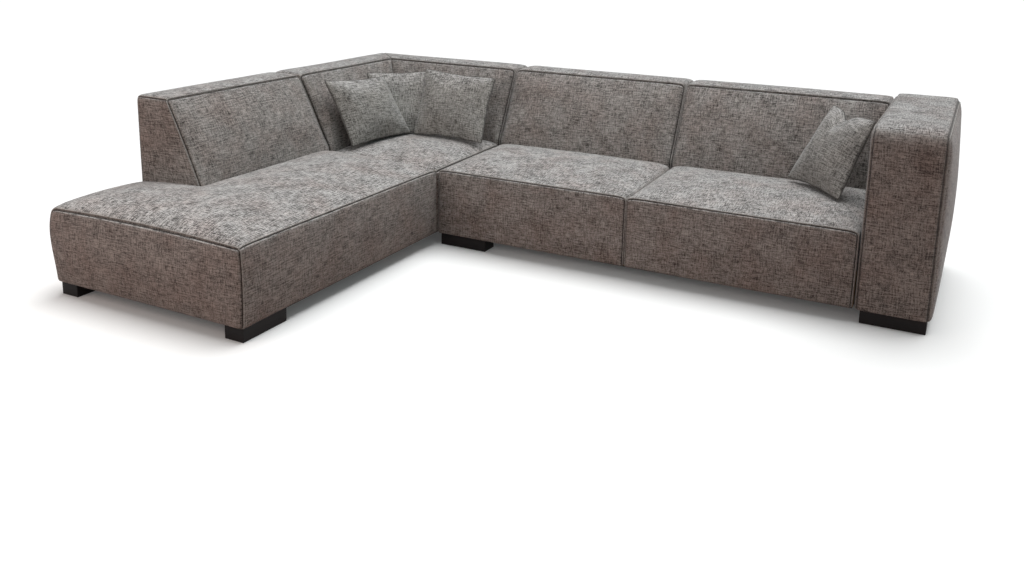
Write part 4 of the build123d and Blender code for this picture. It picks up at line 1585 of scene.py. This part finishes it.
def lap_tree() -> bpy.types.NodeTree:
    """Flat sewn lap or round wire along a path; the path's rise says which way is out of the cloth.

    Returns:
        The tree.
    """
    graph, even, rise = start_path("seam_lap", ("Width", "Thickness", "Step"))
    facing = graph.add("GeometryNodeSetCurveNormal", {"Curve": even, "Normal": rise}, mode="FREE")
    ring = graph.add("GeometryNodeCurvePrimitiveCircle", {"Resolution": LAP_SIDES, "Radius": 0.5}, mode="RADIUS")
    values = {"X": graph.given("Thickness"), "Y": graph.given("Width"), "Z": 1.0}
    size = graph.add("ShaderNodeCombineXYZ", values)
    flat = graph.add("GeometryNodeTransform", {"Geometry": ring.outputs["Curve"], "Scale": size.outputs[0]})
    values = {"Curve": facing.outputs[0], "Profile Curve": flat.outputs[0], "Fill Caps": True}
    return end_path(graph, graph.add("GeometryNodeCurveToMesh", values).outputs[0])


def stitch_tree() -> bpy.types.NodeTree:
    """Short thread stitches along a path, lifted out of the cloth.

    Returns:
        The tree.
    """
    graph, even, rise = start_path("seam_stitches", ("Step", "Length", "Radius", "Lift"))
    lift = graph.add("ShaderNodeVectorMath", {0: rise, "Scale": graph.given("Lift")}, operation="SCALE")
    raised = graph.add("GeometryNodeSetPosition", {"Geometry": even, "Offset": lift.outputs[0]})
    values = {"Segments": STITCH_SEGMENTS, "Rings": STITCH_RINGS, "Radius": 1.0}
    stitch = graph.add("GeometryNodeMeshUVSphere", values)
    half = graph.math("MULTIPLY", graph.given("Length"), 0.5)
    radius = graph.given("Radius")
    size = graph.add("ShaderNodeCombineXYZ", {"X": radius, "Y": radius, "Z": half})
    tangent = graph.add("GeometryNodeInputTangent")
    aim = graph.add("FunctionNodeAlignRotationToVector", {"Vector": tangent.outputs[0]}, axis="Z")
    spread = graph.add("GeometryNodeInstanceOnPoints", {
        "Points": raised.outputs[0], "Instance": stitch.outputs[0], "Rotation": aim.outputs[0],
        "Scale": size.outputs[0],
    })
    return end_path(graph, spread.outputs[0])


@dataclass(frozen=True)
class Sewing:
    """Laps and stitches of the seams."""

    laps: Follower
    stitches: Follower

    def sew_body(self, label: str, body: str, paths: Sequence[SeamPath], cloth: bpy.types.Material,
                 thread: bpy.types.Material) -> None:
        """Makes the laps and stitches of one module.

        Args:
            label: First word of their names.
            body: The body that they ride on.
            paths: Where the laps run.
            cloth: Material of the laps.
            thread: Material of the stitches.
        """
        for piece in (self.laps.make(f"{label}_seam_laps", paths, cloth),
                      self.stitches.make(f"{label}_stitches", paths, thread)):
            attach(piece, body)

    def sew_rim(self, pillow: Pillow, path: SeamPath, cloth: bpy.types.Material) -> None:
        """Makes the rim of a pillow.

        Args:
            pillow: The pillow that it rides on.
            path: Where it runs.
            cloth: Material of the rim, darkened as painted shade.
        """
        piece = self.laps.make(f"{pillow.name}_rim", [path], cloth)
        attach(piece, pillow.name)


@dataclass(frozen=True)
class SpringRow:
    """Sinuous seat springs side by side, each a wire that winds from its front clip to its rear clip."""

    first: float
    last: float
    count: int
    front: float
    rear: float
    run: Run = Run.SEATS
    height: float = 0.250
    half: float = 0.026
    bars: int = 15
    bend_share: float = 0.45
    bend_steps: int = 4

    def wire(self) -> Array:
        """Winds one spring.

        Returns:
            Its centre line, across and along it.
        """
        pitch = (self.rear - self.front) / (self.bars - 1)
        bend = abs(self.bend_share * pitch)
        sides = [self.half if (bar + end) % 2 else -self.half for bar in range(self.bars) for end in (0, 1)]
        corners = np.array([(side, self.front + pitch * (number // 2)) for number, side in enumerate(sides)])
        points = [corners[0]]
        for before, corner, after in zip(corners, corners[1:], corners[2:]):
            into = (before - corner) / np.linalg.norm(before - corner)
            away = (after - corner) / np.linalg.norm(after - corner)
            for turn in np.linspace(0.0, math.pi / 2, self.bend_steps):
                points.append(corner + bend * ((1.0 - math.sin(turn)) * into + (1.0 - math.cos(turn)) * away))
        return np.array([*points, corners[-1]])

    def paths(self) -> list[SeamPath]:
        """Lays the springs side by side.

        Returns:
            Their centre lines in the part's frame.
        """
        wire = self.wire()
        rises = np.tile([0.0, 0.0, 1.0], (len(wire), 1))
        found = []
        for place in np.linspace(self.first, self.last, self.count):
            across, deep, high = wire[:, 0] + place, wire[:, 1], np.full(len(wire), self.height)
            points = (across, deep, high) if self.run is Run.SEATS else (deep, across, high)
            found.append(SeamPath(np.stack(points, axis=1), rises))
        return found


@dataclass(frozen=True)
class Springs:
    """The seat springs of one body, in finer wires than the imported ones."""

    name: str
    body: str
    node: str
    rows: tuple[SpringRow, ...]
    wire: float = 0.0038
    step: float = 0.005

    def build(self, lap: bpy.types.NodeTree, steel: bpy.types.Material) -> None:
        """Winds the wires, hangs them on their body and hides the imported springs that they stand for.

        Args:
            lap: Tree that lays a wire along a path.
            steel: Material of the wires.
        """
        follower = Follower(lap, {"Width": self.wire, "Thickness": self.wire, "Step": self.step})
        piece = follower.make(self.name, [path for row in self.rows for path in row.paths()], steel)
        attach(piece, self.body)
        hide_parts(self.node)


SOFA_CLOTH = ClothFinish("sofa_cloth", (0.050, 0.045, 0.042), (0.52, 0.485, 0.46), warm=(0.80, 0.66, 0.62))
PILLOW_CLOTH = ClothFinish("pillow_cloth", (0.055, 0.051, 0.047), (0.56, 0.55, 0.525), warm=(0.86, 0.80, 0.75),
                           patches=0.35)
LAP_CLOTH = PlainFinish("lap_cloth", (0.20, 0.19, 0.18), (0.46, 0.44, 0.42), (200.0, 200.0, 200.0), 0.9)
# Dark cloth of the pillow rims: painted shade, darker than the pillows' own cloth.
RIM_PAINTED_SHADE = PlainFinish("rim_cloth", (0.06, 0.056, 0.053), (0.18, 0.172, 0.162), (200.0, 200.0, 200.0), 0.9)
THREAD = PlainFinish("thread", (0.10, 0.09, 0.085), (0.22, 0.20, 0.19), (900.0, 900.0, 900.0), 0.6)
FOOT_WOOD = WoodFinish("foot_wood", (0.004, 0.003, 0.003), (0.012, 0.008, 0.008), 0.5, 0.2)
FRAME_WOOD = WoodFinish("frame_wood", (0.42, 0.29, 0.17), (0.68, 0.52, 0.34), 0.6, 0.4)
STEEL = PlainFinish("spring_steel", (0.42, 0.42, 0.43), (0.62, 0.62, 0.63), (60.0, 60.0, 400.0), 0.35, 1.0)
WEBBING = PlainFinish("webbing", (0.10, 0.10, 0.12), (0.28, 0.28, 0.31), (40.0, 500.0, 500.0), 0.85)
DUST_CLOTH = PlainFinish("dust_cloth", (0.012, 0.012, 0.013), (0.045, 0.045, 0.047), (260.0, 260.0, 260.0), 0.95)

LAP_SIZES = {"Width": 0.0056, "Thickness": 0.0030, "Step": 0.006}
STITCH_SIZES = {"Step": 0.0055, "Length": 0.0042, "Radius": 0.00045, "Lift": 0.0016}


def make_blocks(layout: Layout) -> list[SoftBlock]:
    """The sofa's upholstered blocks.

    Args:
        layout: The sizes that they share.

    Returns:
        The blocks in order, from the arm to the wing's open end.
    """
    gap, split = layout.half_seat_gap, layout.half_module_gap
    width, end = layout.seat_width, 2 * layout.seat_width
    blocks: list[SoftBlock] = [
        Arm("arm", MODULE, Run.SEATS, end + gap, end + layout.arm_width,
            weave=Weave(edge=(0.0, 0.006, 0.012, 0.018, 0.030))),
        Seat("right_seat", MODULE, Run.SEATS, width + gap, end - gap, wrap=0.003),
        Seat("left_seat", MODULE, Run.SEATS, split, width - gap),
        Back("right_back", MODULE, Run.SEATS, width + gap, end - gap, end_round=0.010, drop=0.004),
        Back("left_back", MODULE, Run.SEATS, split, width - gap),
        CornerSeat("corner_seat", WING, Run.SEATS, -layout.depth, -split),
        Back("corner_rear", WING, Run.SEATS, -layout.depth, -split, mitre=Mitre.START),
        Back("corner_side", WING, Run.WING, gap, layout.depth, mitre=Mitre.END),
        Back("wing_back", WING, Run.WING, -layout.wing_back_reach, -gap, open_end=True),
        Seat("wing_seat", WING, Run.WING, -layout.wing_reach, -gap, crown=0.070, top_swell=0.028, end_puff=0.020,
             front_puff=0.014, start_round=0.012, front_round=0.026, rear_round=0.026,
             back_from=-layout.wing_back_reach),
    ]
    for number, block in enumerate(blocks):
        block.offset = BLOCK_SHIFT * number
    return blocks


def make_pillows() -> list[Pillow]:
    """The four loose pillows.

    Returns:
        The pillows in order, from the wing to the arm.
    """
    return [
        Pillow("left_pillow", 80.0, 26.0, offset=61.0,
               tugs=((-0.015, -0.010), (-0.018, -0.034), (0.045, 0.0), (0.028, -0.008))),
        Pillow("middle_pillow", 45.0, 32.0, width=0.400, thick=0.092, offset=67.0),
        Pillow("right_pillow", -4.0, 26.0, offset=73.0,
               tugs=((-0.056, 0.006), (-0.018, -0.010), (0.0, 0.0), (-0.020, -0.004))),
        Pillow("arm_pillow", -45.0, 28.0, offset=79.0, squeeze=(0.88, 0.70), chop=0.035,
               tugs=((0.0, 0.022), (0.0, 0.0), (0.030, 0.0), (0.030, 0.010))),
    ]


def make_springs() -> list[Springs]:
    """The springs under the seats of both modules.

    Returns:
        The two-seat module's springs, then the wing's.
    """
    run = (SpringRow(-0.4935, 0.2825, 6, 0.2125, 0.8325), SpringRow(0.4775, 1.2750, 6, 0.2125, 0.8325))
    wing = (SpringRow(-1.1100, 0.0825, 8, -0.6575, -1.2775, Run.WING),
            SpringRow(-1.1800, -0.7550, 4, 0.1800, 0.8325))
    return [Springs("run_spring_wires", MODULE, "run_springs", run),
            Springs("wing_spring_wires", WING, "wing_springs", wing)]


def dress_frame(steel: bpy.types.Material) -> None:
    """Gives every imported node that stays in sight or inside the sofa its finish.

    Args:
        steel: Material of the metal nodes, which the springs share.
    """
    grain = WoodGrain().make()
    finishes = {
        "dark_wood": FOOT_WOOD.make(grain),
        "frame_timber": FRAME_WOOD.make(grain),
        "steel": steel,
        "webbing": WEBBING.make(),
        "dust_cloth": DUST_CLOTH.make(),
    }
    for part in frame["record"]["subparts"]:
        finish = finishes.get(part["material_slot"])
        if finish is not None:
            cover(frame["nodes"][part["node"]], finish)


def fill_cushions(blocks: Sequence[SoftBlock], pillows: Sequence[Pillow]) -> None:
    """Args:
        blocks: The upholstered blocks.
        pillows: The loose pillows.
    """
    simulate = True
    for block in blocks:
        block.build(PRE_FILL if simulate else 1.0)
    for pillow in pillows:
        pillow.build()
    if not simulate:
        for pillow in pillows:
            pillow.settle(pillow.domed(read_points(pillow.piece.data)))
        return
    stuffing, filling = Stuffing(), Stuffing(slack=0.02)
    for block in blocks:
        stuffing.fill(block.piece, block.pinned())
    for pillow in pillows:
        filling.fill(pillow.piece, np.zeros(len(pillow.piece.data.vertices), bool))
    cushions = [*blocks, *pillows]
    swollen = run_cloth([cushion.piece for cushion in cushions], stuffing.frames)
    for cushion in cushions:
        cushion.settle(swollen[cushion.name])


def main() -> None:
    """Builds the sofa's looks, one sub-assembly after the other."""
    logging.basicConfig(level=logging.INFO, format="%(message)s")
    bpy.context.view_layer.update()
    bpy.context.scene.view_settings.view_transform = "Standard"
    studio = Studio()
    studio.make_floor()
    studio.make_light()
    studio.make_camera()

    steel, lap = STEEL.make(), lap_tree()
    dress_frame(steel)
    for springs in make_springs():
        springs.build(lap, steel)

    blocks, pillows = make_blocks(Layout()), make_pillows()
    fill_cushions(blocks, pillows)
    weave = SlubWeave().make()
    sofa_cloth, pillow_cloth = SOFA_CLOTH.make(weave), PILLOW_CLOTH.make(weave)
    paths: dict[str, list[SeamPath]] = {MODULE: [], WING: []}
    for block in blocks:
        paths[block.body] += block.sew()
        block.dress(sofa_cloth)
    sewing = Sewing(Follower(lap, LAP_SIZES), Follower(stitch_tree(), STITCH_SIZES))
    lap_cloth, rim_cloth, thread = LAP_CLOTH.make(), RIM_PAINTED_SHADE.make(), THREAD.make()
    for label, body in (("run", MODULE), ("wing", WING)):
        sewing.sew_body(label, body, paths[body], lap_cloth, thread)
    for pillow in pillows:
        rim = pillow.sew()
        pillow.dress(pillow_cloth)
        sewing.sew_rim(pillow, rim, rim_cloth)


if __name__ == "__main__":
    main()
